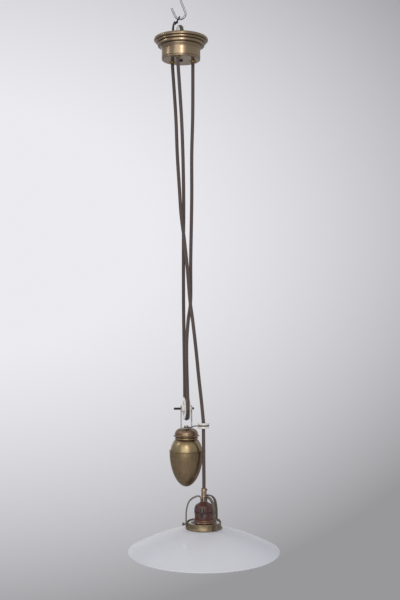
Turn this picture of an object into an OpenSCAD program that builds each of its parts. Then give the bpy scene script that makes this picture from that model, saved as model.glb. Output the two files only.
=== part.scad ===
// Rise and fall pendant: a cord runs from the canopy round the wheel of an egg-shaped
// counterweight, back over a wheel in the canopy and down to the lampholder and shade.
// Millimetres, +Z up. The origin is where the hook's shank meets the ceiling.

/* [Hanging] */
// Drop from the ceiling to the rim of the canopy
rim_drop = 92; // [88:1:120]
// Thickness of the hook's rod
hook_rod = 4.4; // [3.5:0.1:6]
// Radius of the hook's bowl, to the middle of the rod
bowl_r = 11.3; // [10.5:0.1:14]
// Length of the screw thread that goes into the ceiling
hook_thread = 30; // [20:1:45]
// Wire thickness of the hanging link
link_wire = 2.6; // [2:0.1:3]
// Thickness of the hanging strap
strap_t = 2.4; // [2:0.1:3]
// Width of the hanging strap
strap_w = 12; // [10:0.5:14]

/* [Canopy] */
// Outer diameter of the canopy's rim
canopy_d = 111.4; // [106:0.2:130]
// Outer diameter of the canopy's cup below the mouldings
cup_d = 79.2; // [76:0.2:84]
// Height of the canopy
canopy_h = 45; // [42:0.5:60]
// Thickness of the canopy's brass
sheet = 0.9; // [0.7:0.1:1.2]
// Radius of the circle of the three cord holes
hole_circle_r = 26.7; // [25:0.1:29]

/* [Cord] */
// Diameter of the cord
cord_d = 6.6; // [6:0.1:7.2]
// Diameter of one core of the cord
core_d = 2.2; // [1.6:0.1:2.6]

/* [Wheels] */
// Outer diameter of both cord wheels
wheel_d = 46.4; // [46:0.2:50]
// Width of both cord wheels at the rim
wheel_w = 11.4; // [11:0.2:14]
// Radius from the axle to the middle of the cord
pitch_r = 21; // [20:0.5:22]
// Diameter of the wheels' axles
axle_d = 4.6; // [3.8:0.1:5]
// Length of the counterweight's axle
axle_l = 41.5; // [36:0.5:46]
// Distance between the middles of the fork's two legs
fork_gap = 21.6; // [21:0.2:26]
// Thickness of the fork's strap
fork_t = 1.4; // [1:0.1:2]
// Width of the fork's strap
fork_w = 11; // [9:0.5:12]
// Height from the cap of the counterweight to its axle
fork_h = 40.3; // [38:0.1:46]

/* [Counterweight] */
// Drop from the canopy's rim to the counterweight's axle
weight_drop = 758.5; // [740:0.5:780]
// Diameter of the counterweight at its seam
egg_d = 69; // [64:0.5:72]
// Height of the lower shell, from the seam to the tip
egg_h = 74.2; // [68:0.5:90]
// Height of the domed shoulder above the seam
dome_h = 20.5; // [18:0.5:24]
// Diameter of the neck below the cap
neck_d = 43; // [40:0.5:46]
// Height of the neck below the cap
neck_h = 8.7; // [8:0.1:12]
// Diameter of the cap's flared edge
cap_d = 53.6; // [51:0.2:58]
// Height of the cap
cap_h = 16; // [14:0.5:20]
// Diameter of the cap's flat top
cap_top_d = 22.6; // [22:0.1:26]
// Wall of the cap and of both shells
shell_t = 1.3; // [1:0.1:1.6]
// Diameter of the tie rod
rod_d = 5; // [4:0.5:6]
// Length of the tie rod
rod_l = 64; // [54:1:76]

/* [Cord guide] */
// Outer diameter of the porcelain eye
eye_d = 24; // [22:0.5:27]
// Height of the porcelain eye
eye_h = 11; // [10:0.5:14]
// Bore of the porcelain eye
eye_bore = 9.2; // [8.4:0.1:10]
// Wire thickness of the guide arm
guide_wire = 2; // [1.6:0.1:2.6]

/* [Lampholder] */
// Drop from the canopy's rim to the top of the cord grip
lamp_drop = 918; // [910:1:925]
// Diameter of the cord grip
grip_d = 11.2; // [10.6:0.1:13]
// Height of the cord grip
grip_h = 17.3; // [14:0.1:20]
// Diameter of the threaded tube
tube_d = 9.1; // [8.8:0.1:10]
// Visible length of the threaded tube
tube_gap = 11.7; // [11:0.1:16]
// Diameter of the lampholder's body
holder_d = 38; // [37:0.2:44]
// Diameter of the lampholder's cap
holder_cap_d = 35; // [34:0.2:35.4]
// Height of the lampholder's cap
holder_cap_h = 18; // [16:0.5:22]
// Height of the lampholder's body below the cap
holder_body_h = 38; // [36:0.5:40]
// Wall of the lampholder
holder_t = 2.6; // [2:0.1:3]
// Inner diameter of the threaded bulb shell
bulb_shell_d = 26.4; // [26:0.1:27]
// Wall of the threaded bulb shell
bulb_shell_t = 0.5; // [0.4:0.1:0.7]
// Height of the threaded bulb shell
bulb_shell_h = 19; // [16:0.5:20]

/* [Gallery] */
// Outer diameter of the gallery ring
gallery_d = 70; // [68:0.2:76]
// Height of the gallery ring
gallery_h = 13; // [11:0.5:16]
// Diameter of the gallery ring's lower lip
gallery_lip_d = 74.2; // [72:0.2:80]
// Wall of the gallery ring
gallery_t = 1.2; // [1:0.1:1.5]
// Drop from the top of the cord grip to the top of the gallery ring
gallery_drop = 67; // [66:0.5:70]
// Width of the three arms
arm_w = 6; // [5:0.2:8]
// Thickness of the three arms
arm_t = 2.6; // [1.8:0.1:2.8]
// Diameter of the thumbscrews
thumb_d = 3; // [2.5:0.1:3.6]
// Diameter of the thumbscrews' heads
thumb_head_d = 6.4; // [5:0.1:8]
// Length of the thumbscrews' heads
thumb_head_l = 4.4; // [3:0.1:6]
// Free length of the thumbscrews between arm and head
thumb_stem = 2.2; // [1.5:0.1:5]

/* [Shade] */
// Diameter of the glass shade
shade_d = 307; // [280:1:340]
// Height of the shade below the gallery ring
shade_h = 48; // [40:0.5:60]
// Thickness of the glass
glass_t = 3.2; // [2.6:0.1:4]
// Outer diameter of the shade's neck
shade_neck_d = 58; // [56:0.2:60]

/* [Hidden] */

brass = [0.62, 0.5, 0.27];
dark_iron = [0.16, 0.15, 0.15];
steel = [0.62, 0.62, 0.62];
porcelain = [0.92, 0.91, 0.87];
textile = [0.33, 0.27, 0.25];
bakelite = [0.23, 0.12, 0.09];
opal = [0.93, 0.94, 0.94];

fit = 0.05;          // running gap round a pin that turns or slides
gap = 0.3;           // gap between curved faces that do not touch
cut = 1;             // how far a cut runs past the face it opens
fine = 72;           // sides of a round piece in the interpreter's own mesh
small = 32;          // sides of a small round piece

rim_z = -rim_drop;
canopy_z = rim_z - canopy_h;
floor_z = canopy_z + sheet;
weight_axle_z = rim_z - weight_drop;
weight_top = weight_axle_z - fork_h;
neck_z = weight_top - cap_h;
dome_z = neck_z - neck_h;
seam_z = dome_z - dome_h;
grip_z = rim_z - lamp_drop;
tube_top = grip_z - grip_h;
holder_z = tube_top - tube_gap;
body_z = holder_z - holder_cap_h;
body_bottom = body_z - holder_body_h;
gallery_z = grip_z - gallery_drop;
gallery_bottom = gallery_z - gallery_h;

// Places seen from above: the canopy is at the origin
weight_x = 11;
guide_at = [46, -20];
lamp_at = [47, -20];
strap_turn = 14;     // the ceiling wheel's axle, turned about Z
fork_turn = 9.5;     // the counterweight's axle, turned about Z
hole_turns = [132.1, 257.4, 24.6];   // lamp strand, return strand, fixed strand
arm_turns = [185, -54, 45];          // left, front, rear

// ---------- cord routes, chosen by hand along the strands ----------

run_top = canopy_z - 2;      // the free strands start just below the canopy's bushes
hole_in = canopy_z + 6;      // inside the canopy the cord is straight up to here
wheel_lead = 13;             // and again this far before it meets the ceiling wheel
fixed_route = [[24.3, 11.1, run_top], [24, 8, -247], [22, 6, -330], [22, 4, -423], [20, 0, -546],
    [19.8, -4, -628], [15, -6.5, -669], [12, -10, -710], [11.8, -13.5, -750], [13, -17.5, -795],
    [14.5, -20.7, -850.5]];
return_route = [[-5.8, -26.1, run_top], [1, -12, -252], [4, -2, -331], [5.3, 3, -402], [5.5, 5, -453],
    [5, 6, -505], [5, 11, -628], [6, 15, -711], [7.2, 19, -790], [7.5, 20.7, -850.5]];
upper_route = [[-17.9, 19.8, run_top], [-11, 11, -247], [-7.6, 4, -330], [-3, -2, -403], [0.5, -6, -454],
    [7, -8, -506], [13.5, -11, -567], [18.5, -14, -628], [24, -16, -669], [31, -18, -730],
    [37, -19, -790], [42, -19.8, -835], [46, -20, -883]];
lower_route = [[46, -20, -883], [46.1, -20, -900], [46.9, -20, -985], [47, -20, -1026]];
down = [0, 0, -1];
run_sides = 10;
wrap_steps = 12;

function unit(v) = v / norm(v);
function middle(a, b, c) = unit(unit(b - a) + unit(c - b));
function tangent(p, i, first, last) = i == 0 ? first : i == len(p) - 1 ? last
    : middle(p[i - 1], p[i], p[i + 1]);
function side_of(t, ref) = unit(ref - (ref * t) * t);
function ring_at(c, t, ref, r, n) = let (u = side_of(t, ref), v = cross(t, u))
    [for (k = [0 : n - 1]) c + r * (cos(360 * k / n) * u + sin(360 * k / n) * v)];

// A round tube along points p, with rings of n corners square to the route
module tube(p, d, first, last, ref, n) {
    rings = [for (i = [0 : len(p) - 1]) ring_at(p[i], tangent(p, i, first, last), ref, d / 2, n)];
    corners = [for (one = rings) each one];
    walls = [for (i = [0 : len(p) - 2], k = [0 : n - 1]) let (a = i * n, b = (k + 1) % n)
        each [[a + k, a + n + k, a + n + b], [a + k, a + n + b, a + b]]];
    start = [for (k = [1 : n - 2]) [0, k, k + 1]];
    base = (len(p) - 1) * n;
    finish = [for (k = [1 : n - 2]) [base, base + k + 1, base + k]];
    polyhedron(corners, concat(walls, start, finish));
}

module run(p) { color(textile) tube(p, cord_d, down, down, [1, 0, 0], run_sides); }

function turned(p, a) = [p[0] * cos(a) - p[1] * sin(a), p[0] * sin(a) + p[1] * cos(a), p[2]];
function moved(p, by) = [for (one = p) one + by];

// ---------- shared shapes ----------

module at_strap() { translate([0, 0, rim_z]) rotate([0, 0, strap_turn]) children(); }
module at_weight() { translate([weight_x, 0, 0]) children(); }
module at_lamp() { translate([lamp_at[0], lamp_at[1], 0]) children(); }
module along_x() { rotate([0, 90, 0]) children(); }
module post(d, z0, z1, n = small) { translate([0, 0, z0]) cylinder(h = z1 - z0, d = d, $fn = n); }
module torus_part(r, d, from, sweep) {
    rotate([0, 0, from]) rotate_extrude(angle = sweep, $fn = fine) translate([r, 0]) circle(d = d, $fn = 24);
}

groove_gap = 0.25;
wheel_hub_r = 7.5;
groove_open = 1.2;
module wheel_section(hub) {
    half = wheel_w / 2;
    rim = wheel_d / 2;
    difference() {
        union() {
            translate([0, -hub]) square([wheel_hub_r, 2 * hub]);
            translate([0, -2.6]) square([pitch_r - 2, 5.2]);
            polygon([[13.4, -half + 0.6], [14, -half], [rim - 0.6, -half], [rim, -half + 0.5],
                [rim, half - 0.5], [rim - 0.6, half], [14, half], [13.4, half - 0.6]]);
        }
        translate([pitch_r, 0]) circle(d = cord_d + 2 * groove_gap, $fn = small);
        polygon([[pitch_r, cord_d / 2 + groove_gap], [rim + cut, cord_d / 2 + groove_open],
            [rim + cut, -cord_d / 2 - groove_open], [pitch_r, -cord_d / 2 - groove_gap]]);
        translate([-cut, -hub - cut]) square([axle_d / 2 + fit + cut, 2 * hub + 2 * cut]);
    }
}
module cord_wheel(hub) {
    color(porcelain) along_x() rotate_extrude($fn = fine) wheel_section(hub);
}

module hex_nut(across, h, bore) {
    difference() {
        cylinder(h = h, d = across / cos(30), $fn = 6);
        translate([0, 0, -cut]) cylinder(h = h + 2 * cut, d = bore, $fn = small);
    }
}

// ---------- hook and link ----------

bowl_up = 51;        // height of the bowl's middle above the canopy's rim
bowl_z = rim_z + bowl_up;
bowl_x = -2;
bowl_from = -156;    // the bowl runs from its open end to the start of the neck
bowl_to = 22;
tip_l = 17;
bend_r = 10;         // bend between the slanting neck and the upright shank
neck_low = [bowl_x + bowl_r * cos(bowl_to), bowl_r * sin(bowl_to)];
neck_l = (neck_low[0] - bend_r * (1 - cos(bowl_to))) / sin(bowl_to);
bend_z = neck_low[1] + neck_l * cos(bowl_to) + bend_r * sin(bowl_to);
function bowl_point(a, out) = [bowl_x + bowl_r * cos(a) + out * sin(a), 0,
    bowl_z + bowl_r * sin(a) - out * cos(a)];
hook_course = concat([bowl_point(bowl_from, tip_l)],
    [for (i = [0 : 15]) bowl_point(bowl_from + (bowl_to - bowl_from) * i / 15, 0)],
    [for (i = [0 : 3]) let (a = bowl_to * i / 3) [bend_r - bend_r * cos(bowl_to - a), 0,
        bowl_z + bend_z - bend_r * sin(bowl_to - a)]],
    [[0, 0, -4]]);
thread_d = hook_rod + 0.3;
module ceiling_hook() {
    color(steel) post(thread_d, bowl_z + bend_z, hook_thread);
    color(steel) tube(hook_course, hook_rod, [sin(-bowl_from), 0, cos(bowl_from)], -down, [0, 1, 0], 16);
}

link_half = 5;       // half the distance between the middles of the link's legs
wheel_u = -3;        // middle of the ceiling wheel, along the strap's axis
wheel_up = 2.2;      // its height above the rim
link_floor = wheel_up + pitch_r + cord_d / 2 + 0.5 + link_wire / 2;
link_lean = 10;
link_low = [-11.7, link_floor];
link_high = [bowl_x - (bowl_r - 4.2) * sin(link_lean), bowl_z - rim_z - (bowl_r - 4.2) * cos(link_lean)];
module hanging_link() {
    lean = atan2(link_high[0] - link_low[0], link_high[1] - link_low[1]);
    length = norm(link_high - link_low) - 2 * link_half;
    color(dark_iron) at_strap() translate([link_low[0], 0, link_low[1]]) rotate([0, lean, 0])
        rotate([0, 0, 90]) rotate([90, 0, 0]) translate([0, link_half, 0]) {
            for (s = [-1, 1]) translate([s * link_half, 0, 0]) rotate([-90, 0, 0])
                cylinder(h = length, d = link_wire, $fn = small);
            torus_part(link_half, link_wire, 180, 180);
            translate([0, length, 0]) torus_part(link_half, link_wire, 0, 180);
        }
}

// ---------- canopy ----------

leg_u = -15.5;       // inner face of the strap's upright leg
foot_end = 19;
arm_low = 20;        // height above the rim where the strap's top arm starts
seat = link_floor + 2.35;
neck_u = [-14.5, -8.9];
neck_half = 2.2;
tip_half = 3.4;
tip_end = -6.7;
module hanging_strap() {
    color(dark_iron) at_strap() difference() {
        union() {
            translate([leg_u - strap_t, -strap_w / 2, floor_z - rim_z])
                cube([foot_end - leg_u + strap_t, strap_w, strap_t]);
            translate([leg_u - strap_t, -strap_w / 2, floor_z - rim_z])
                cube([strap_t, strap_w, arm_low - floor_z + rim_z]);
            translate([0, strap_w / 2, 0]) rotate([90, 0, 0]) linear_extrude(strap_w)
                polygon([[leg_u - strap_t, arm_low], [leg_u, arm_low], [leg_u + 1, arm_low + 5.4],
                    [neck_u[0] + 0.4, seat], [tip_end, seat], [tip_end, seat + 5],
                    [neck_u[1], seat + 5], [neck_u[1], seat + strap_t], [neck_u[0] - 0.4, seat + strap_t],
                    [leg_u - 1.2, arm_low + 7.6]]);
        }
        for (s = [-1, 1]) {
            translate([neck_u[0], s * (neck_half + strap_w / 2) - strap_w / 2, arm_low - cut])
                cube([neck_u[1] - neck_u[0], strap_w, 20]);
            translate([neck_u[1] - cut, s * (tip_half + strap_w / 2) - strap_w / 2, arm_low - cut])
                cube([6, strap_w, 20]);
        }
        translate([0, 0, floor_z - rim_z - cut]) cylinder(h = 6, d = 5 + 2 * fit, $fn = small);
        translate([leg_u - 5, 0, wheel_up]) along_x() cylinder(h = 8, d = axle_d, $fn = small);
    }
}

flare = (canopy_d - cup_d) / 2;
cup_r = cup_d / 2;
rim_roll = 1.5;
module canopy_outline(t) {
    polygon([[0, canopy_z + t], [cup_r - 5, canopy_z + t], [cup_r - t, canopy_z + 5],
        [cup_r - t, rim_z - 27], [cup_r + 0.12 * flare - t, rim_z - 24.5],
        [cup_r + 0.22 * flare - t, rim_z - 19], [cup_r + 0.38 * flare - t, rim_z - 14],
        [cup_r + 0.69 * flare - t, rim_z - 9], [cup_r + 0.92 * flare - t, rim_z - 2.5],
        [cup_r + 0.92 * flare - t, rim_z + (t > 0 ? cut : 0)], [0, rim_z + (t > 0 ? cut : 0)]]);
    translate([cup_r - 5, canopy_z + 5]) circle(r = 5 - t, $fn = 48);
    translate([cup_r - 0.1, rim_z - 26.2]) circle(r = 1.7 - t, $fn = 24);
    translate([cup_r + 0.07 * flare, rim_z - 21]) circle(r = 2.2 - t, $fn = 24);
    translate([cup_r + 0.27 * flare, rim_z - 15.2]) circle(r = 2.8 - t, $fn = 24);
    translate([cup_r + 0.66 * flare, rim_z - 9.4]) circle(r = 2.3 - t, $fn = 24);
    translate([cup_r + 0.84 * flare, rim_z - 5]) circle(r = 2 - t, $fn = 24);
    if (t == 0) translate([canopy_d / 2 - rim_roll, rim_z - rim_roll]) circle(r = rim_roll, $fn = 24);
}
bush_d = cord_d + 4;
bush_flange = 1.2;
module at_hole(i) { rotate([0, 0, hole_turns[i]]) translate([hole_circle_r, 0, 0]) children(); }
module canopy_cup() {
    color(brass) difference() {
        rotate_extrude($fn = 96) canopy_outline(0);
        rotate_extrude($fn = 96) canopy_outline(sheet);
        for (i = [0 : 2]) at_hole(i) post(bush_d, canopy_z - cut, floor_z + cut);
        post(5 + 2 * fit, canopy_z - cut, floor_z + cut);
    }
}
module canopy_screw() {
    color(dark_iron) {
        post(5, canopy_z, floor_z + strap_t + 5);
        translate([0, 0, canopy_z - 2.4]) difference() {
            cylinder(h = 2.4, d1 = 6, d2 = 9, $fn = small);
            translate([-5, -0.5, -cut]) cube([10, 1, 1.8]);
        }
    }
}
module canopy_nut() {
    color(steel) translate([0, 0, floor_z + strap_t]) hex_nut(8, 4, 5);
}
module cord_bushes() {
    color(brass) for (i = [0 : 2]) at_hole(i) difference() {
        union() {
            post(bush_d, canopy_z, floor_z + 1.4);
            post(bush_d + 2.4, canopy_z - bush_flange, canopy_z);
        }
        post(cord_d + 1, canopy_z - bush_flange - cut, floor_z + 3);
    }
}
module ceiling_wheel() {
    at_strap() translate([wheel_u, 0, wheel_up]) cord_wheel(wheel_w / 2 + 0.8);
}
module ceiling_axle() {
    far_end = wheel_u + wheel_w / 2 + 3;
    color(steel) at_strap() translate([0, 0, wheel_up]) along_x() {
        post(axle_d, leg_u - strap_t, far_end);
        post(axle_d + 3.5, leg_u - strap_t - 1.6, leg_u - strap_t);
        post(axle_d + 4, leg_u, wheel_u - wheel_w / 2 - 0.8 - gap);
        post(axle_d + 4, far_end - 1.9, far_end);
    }
}

clamp_h = 9;
clamp_z = floor_z + 1.4;
module cord_clamp() {
    color(brass) at_hole(2) difference() {
        post(cord_d + 7, clamp_z, clamp_z + clamp_h);
        post(cord_d, clamp_z - cut, clamp_z + clamp_h + cut);
        translate([0, 0, clamp_z + clamp_h / 2]) along_x() cylinder(h = cord_d + 2, d = 3, $fn = small);
    }
}
module clamp_screw() {
    color(steel) at_hole(2) translate([0, 0, clamp_z + clamp_h / 2]) along_x() difference() {
        post(3, cord_d / 2, cord_d / 2 + 5);
        translate([-2, -0.35, cord_d / 2 + 4]) cube([4, 0.7, 2]);
    }
}
block = [12, 22, 11];
block_u = 6.4;
block_z = floor_z - rim_z + strap_t;
block_hole = 3.4;
wire_up = 5;         // height of the wire holes above the block's foot
wire_us = [block_u + 3, block_u + 9];
module terminal_block() {
    color(porcelain) at_strap() difference() {
        translate([block_u, -block[1] / 2, block_z]) cube(block);
        for (u = wire_us) {
            translate([u, block[1] / 2 + cut, block_z + wire_up]) rotate([90, 0, 0])
                cylinder(h = block[1] + 2 * cut, d = block_hole, $fn = small);
            for (s = [-1, 1]) translate([u, s * block[1] / 4, block_z + wire_up])
                cylinder(h = block[2], d = 3, $fn = small);
        }
    }
}
module terminal_screws() {
    color(brass) at_strap() for (u = wire_us, s = [-1, 1]) translate([u, s * block[1] / 4, 0])
        difference() {
            post(3, block_z + wire_up + core_d / 2 + 0.05, block_z + block[2] + 0.6);
            translate([-2, -0.35, block_z + block[2] - 0.4]) cube([4, 0.7, 2]);
        }
}
// The two cores, from the end of the cord over to the block, in the strap's frame
core_end = clamp_z + clamp_h + 4;
core_z = core_end - rim_z;
wire_z = block_z + wire_up;
core_near = [[27, 6.3, core_z], [26.4, 7.4, core_z + 4.3], [22.6, 12.6, core_z + 5.7],
    [17.6, 17, core_z], [15.8, 17.2, wire_z + 1.4], [wire_us[1], 13.4, wire_z], [wire_us[1], 3, wire_z]];
core_far = [[28.4, 4, core_z], [28.6, 5.4, core_z + 7.1], [24, 13.6, core_z + 9.9],
    [15.5, 20.6, core_z + 4], [10, 19.4, wire_z + 2.8], [wire_us[0], 14.6, wire_z], [wire_us[0], 3, wire_z]];
module cord_cores() {
    color([0.75, 0.7, 0.6]) at_strap() for (one = [core_near, core_far])
        tube(one, core_d, [0, 0, 1], [0, -1, 0], [0.9, 0.3, 0.2], 8);
}

// The cord inside the canopy: over the wheel, and the fixed end in its clamp
function strap_point(u, v, z) = turned([wheel_u + u, v, rim_z + wheel_up + z], strap_turn);
function wrap_over() = [for (i = [0 : wrap_steps]) let (a = 180 * i / wrap_steps)
    strap_point(0, pitch_r * cos(a), pitch_r * sin(a))];
function hole_point(i, z) = turned([hole_circle_r, 0, z], hole_turns[i]);
over_route = concat(
    [hole_point(0, run_top), hole_point(0, hole_in), [-12.4, 20, canopy_z + 23],
        strap_point(0, pitch_r, -wheel_lead)],
    wrap_over(),
    [strap_point(0, -pitch_r, -wheel_lead), [-0.6, -23, canopy_z + 23], hole_point(1, hole_in),
        hole_point(1, run_top)]);
module canopy_cord() {
    color(textile) {
        tube(over_route, cord_d, -down, down, turned([1, 0, 0], strap_turn), run_sides);
        tube([hole_point(2, run_top), hole_point(2, core_end)], cord_d, -down, -down, [1, 0, 0], run_sides);
    }
}
module fixed_cord() { run(fixed_route); }
module return_cord() { run(return_route); }
module lamp_cord_upper() { run(upper_route); }
module lamp_cord_lower() { run(lower_route); }

// ---------- counterweight ----------

module at_fork() { at_weight() translate([0, 0, weight_axle_z]) rotate([0, 0, fork_turn]) children(); }
function fork_point(v, z) = turned([0, v, z], fork_turn) + [weight_x, 0, weight_axle_z];
under_route = [for (i = [0 : wrap_steps]) let (a = 180 + 180 * i / wrap_steps)
    fork_point(pitch_r * cos(a), pitch_r * sin(a))];
module weight_cord() {
    color(textile) tube(under_route, cord_d, down, -down, turned([1, 0, 0], fork_turn), run_sides);
}
hub_half = fork_gap / 2 - fork_t / 2 - gap;
module weight_wheel() { at_fork() cord_wheel(hub_half); }
axle_left = -axle_l * 0.62;
module weight_axle() {
    color(dark_iron) at_fork() along_x() {
        post(axle_d, axle_left + 0.6, axle_left + axle_l - 0.6);
        translate([0, 0, axle_left]) cylinder(h = 0.6, d1 = axle_d - 1, d2 = axle_d, $fn = small);
        translate([0, 0, axle_left + axle_l - 0.6])
            cylinder(h = 0.6, d1 = axle_d, d2 = axle_d - 1, $fn = small);
    }
}
fork_top = 6.5;
module weight_fork() {
    color(steel) at_fork() {
        for (s = [-1, 1]) translate([s * fork_gap / 2 - fork_t / 2, 0, 0]) along_x() difference() {
            linear_extrude(fork_t) {
                circle(d = fork_w, $fn = 48);
                translate([-fork_top, -fork_w / 4]) square([fork_top, fork_w / 2]);
                translate([0, -fork_w / 2]) square([fork_h, fork_w]);
            }
            translate([0, 0, -cut]) cylinder(h = fork_t + 2 * cut, d = axle_d, $fn = small);
        }
        translate([0, 0, -fork_h]) difference() {
            translate([-fork_gap / 2, -fork_w / 2, 0]) cube([fork_gap, fork_w, fork_t]);
            translate([0, 0, -cut]) cylinder(h = 4, d = rod_d, $fn = small);
        }
    }
}
nut_h = 1.9;
module weight_nut() {
    color(dark_iron) at_weight() translate([0, 0, weight_top + fork_t + guide_wire + 0.1])
        hex_nut(8, nut_h, rod_d);
}
rod_top = weight_top + fork_t + guide_wire + nut_h + 0.3;
module tie_rod() { color(steel) at_weight() post(rod_d, rod_top - rod_l, rod_top); }

cap_shoulder = [13.3, 11];
cap_lip = 1.2;
module cap_outline(t) {
    top_r = cap_top_d / 2 - 0.8;
    edge = cap_d / 2;
    start = top_r + cap_shoulder[0];
    polygon(concat([[0, 0 - t]],
        [for (a = [90 : -7.5 : 0]) [top_r + (cap_shoulder[0] - t) * cos(a),
            -cap_shoulder[1] + (cap_shoulder[1] - t) * sin(a)]],
        [for (s = [0.2 : 0.2 : 1]) [start - t + (edge - start) * s * s,
            -cap_shoulder[1] - (cap_h - cap_lip - cap_shoulder[1]) * s]],
        [[edge - t, -cap_h - (t > 0 ? cut : 0)], [0, -cap_h - (t > 0 ? cut : 0)]]));
}
guide_turn = atan2(guide_at[1], guide_at[0] - weight_x);
guide_far = norm([guide_at[0] - weight_x, guide_at[1]]);
module weight_cap() {
    color(brass) at_weight() translate([0, 0, weight_top]) difference() {
        rotate_extrude($fn = 96) cap_outline(0);
        rotate_extrude($fn = 96) cap_outline(shell_t);
        translate([0, 0, -cut - shell_t]) cylinder(h = 4, d = rod_d, $fn = small);
    }
}

collar_z = weight_top - shell_t;
collar_d = 20.6;
dome_r = egg_d / 2 - shell_t - 0.08;
dome_top_r = neck_d / 2 + 2.4;
spigot = 4.5;
bead_r = 2.4;
function neck_bead(t) = t > 0 ? [] : [for (a = [80 : -20 : -80])
    [neck_d / 2 + bead_r * cos(a), neck_z - neck_h / 2 + bead_r * sin(a)]];
// Outline of the neck and dome, drawn in by t
module dome_outline(t) {
    polygon(concat([[0, collar_z - t], [collar_d / 2 - t, collar_z - t],
        [collar_d / 2 - t, neck_z + (t > 0 ? -t : 0)], [neck_d / 2 - t, neck_z - t],
        each neck_bead(t),
        [neck_d / 2 - t, dome_z - t]],
        [for (a = [0 : 7.5 : 90]) [dome_top_r - t + (dome_r - dome_top_r) * sin(a),
            seam_z + (dome_h - t) * cos(a)]],
        [[dome_r - t, seam_z - spigot - (t > 0 ? cut : 0)], [0, seam_z - spigot - (t > 0 ? cut : 0)]]));
}
module weight_dome() {
    color(brass) at_weight() difference() {
        rotate_extrude($fn = 96) dome_outline(0);
        rotate_extrude($fn = 96) dome_outline(shell_t);
        post(rod_d, collar_z - 4, collar_z + cut);
    }
}
lip = 1.2;
function egg_points(t) = [for (a = [5 : 5 : 90])
    [(egg_d / 2 - t) * pow(cos(a), 1.04), seam_z - 2 - (egg_h - 2 - t) * sin(a)]];
module egg_outline(t) {
    band = t > 0 ? [] : [[egg_d / 2 + 0.5, seam_z], [egg_d / 2 + 0.8, seam_z - 0.3],
        [egg_d / 2 + 0.8, seam_z - 2 * lip], [egg_d / 2 + 0.5, seam_z - 2 * lip - 0.3]];
    polygon(concat([[0, seam_z + (t > 0 ? cut : 0)]],
        t > 0 ? [[egg_d / 2 - t, seam_z + cut]] : [], band,
        [[egg_d / 2 - t, seam_z - 2 * lip - 0.3 - t]], egg_points(t)));
}
module weight_egg() {
    color(brass * 0.8) at_weight() difference() {
        rotate_extrude($fn = 96) egg_outline(0);
        rotate_extrude($fn = 96) egg_outline(shell_t);
    }
}
ballast_gap = 0.4;
ballast_inset = shell_t + ballast_gap;
module ballast() {
    color([0.3, 0.3, 0.32]) at_weight() difference() {
        rotate_extrude($fn = fine) intersection() {
            union() {
                translate([0, seam_z - egg_h]) square([dome_r - ballast_inset, egg_h]);
                translate([0, seam_z - 1]) square([dome_top_r - ballast_inset, dome_h - 4]);
            }
            union() {
                dome_outline(ballast_inset);
                egg_outline(ballast_inset);
            }
        }
        post(rod_d, rod_top - rod_l - 1, collar_z);
    }
}

eye_z = weight_top + 8;
eye_groove_r = eye_d / 2 - 2.2;
module at_guide() { translate([guide_at[0], guide_at[1], eye_z]) children(); }
module guide_eye() {
    half = eye_h / 2;
    color(porcelain) at_guide() rotate_extrude($fn = fine) difference() {
        union() {
            translate([0, -half + 1.5]) square([eye_d / 2, eye_h - 3]);
            translate([0, -half]) square([eye_d / 2 - 1.5, eye_h]);
            for (s = [-1, 1]) translate([eye_d / 2 - 1.5, s * (half - 1.5)]) circle(r = 1.5, $fn = 24);
        }
        translate([-cut, -half - cut]) square([eye_bore / 2 + cut, eye_h + 2 * cut]);
        translate([eye_d / 2 + 0.2, 0]) circle(d = 2 * (eye_d / 2 + 0.2 - eye_groove_r), $fn = 24);
        for (s = [-1, 1]) polygon([[eye_bore / 2 - 1, s * (half - 1)], [eye_bore / 2, s * (half - 1)],
            [eye_bore / 2 + 1, s * half], [eye_bore / 2 + 1, s * (half + 1)],
            [eye_bore / 2 - 1, s * (half + 1)]]);
    }
}
guide_loop_r = eye_groove_r + guide_wire / 2 + 0.1;
rod_eye_r = rod_d / 2 + guide_wire / 2 + 0.1;
guide_z = fork_t + guide_wire / 2;
// The wire's course seen from the tie rod, with x towards the porcelain eye
guide_course = concat(
    [for (a = [-20 : 24 : 268]) [rod_eye_r * cos(360 - a - 110), rod_eye_r * sin(360 - a - 110), guide_z]],
    [[4, -rod_eye_r - 0.6, guide_z + 0.2], [15, -7, guide_z + 1.2], [20, -8.4, 5], [24, -9.6, 7]],
    [for (a = [252 : 18 : 540]) [guide_far + guide_loop_r * cos(a), guide_loop_r * sin(a),
        eye_z - weight_top]]);
module guide_arm() {
    color(dark_iron) at_weight() translate([0, 0, weight_top]) rotate([0, 0, guide_turn])
        tube(guide_course, guide_wire, unit(guide_course[1] - guide_course[0]),
            unit(guide_course[len(guide_course) - 1] - guide_course[len(guide_course) - 2]), [0, 0, 1], 10);
}

// ---------- lampholder ----------

grip_bore = cord_d + 0.3;
module cord_grip() {
    color(brass) at_lamp() difference() {
        union() {
            post(grip_d, tube_top, grip_z);
            post(grip_d + 0.8, tube_top, tube_top + 1.2);
        }
        post(grip_bore, tube_top - cut, grip_z + cut);
        translate([0, 0, grip_z - 3]) along_x() cylinder(h = grip_d, d = 2.4, $fn = small);
    }
}
module grip_screw() {
    color(dark_iron) at_lamp() translate([0, 0, grip_z - 3]) along_x() {
        post(2.4, grip_bore / 2, grip_d / 2);
        translate([0, 0, grip_d / 2]) difference() {
            cylinder(h = 1.2, d1 = 3.6, d2 = 2.8, $fn = small);
            translate([-2, -0.3, 0.6]) cube([4, 0.6, 2]);
        }
    }
}
module threaded_tube() {
    color(brass * 0.9) at_lamp() difference() {
        post(tube_d, body_z + 2, tube_top);
        post(tube_d - 2.2, body_z, tube_top + cut);
    }
}
tube_nut_h = 2.5;
module tube_nut() {
    color(brass) at_lamp() translate([0, 0, holder_z - cap_roof - tube_nut_h])
        hex_nut(12, tube_nut_h, tube_d);
}

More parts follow.
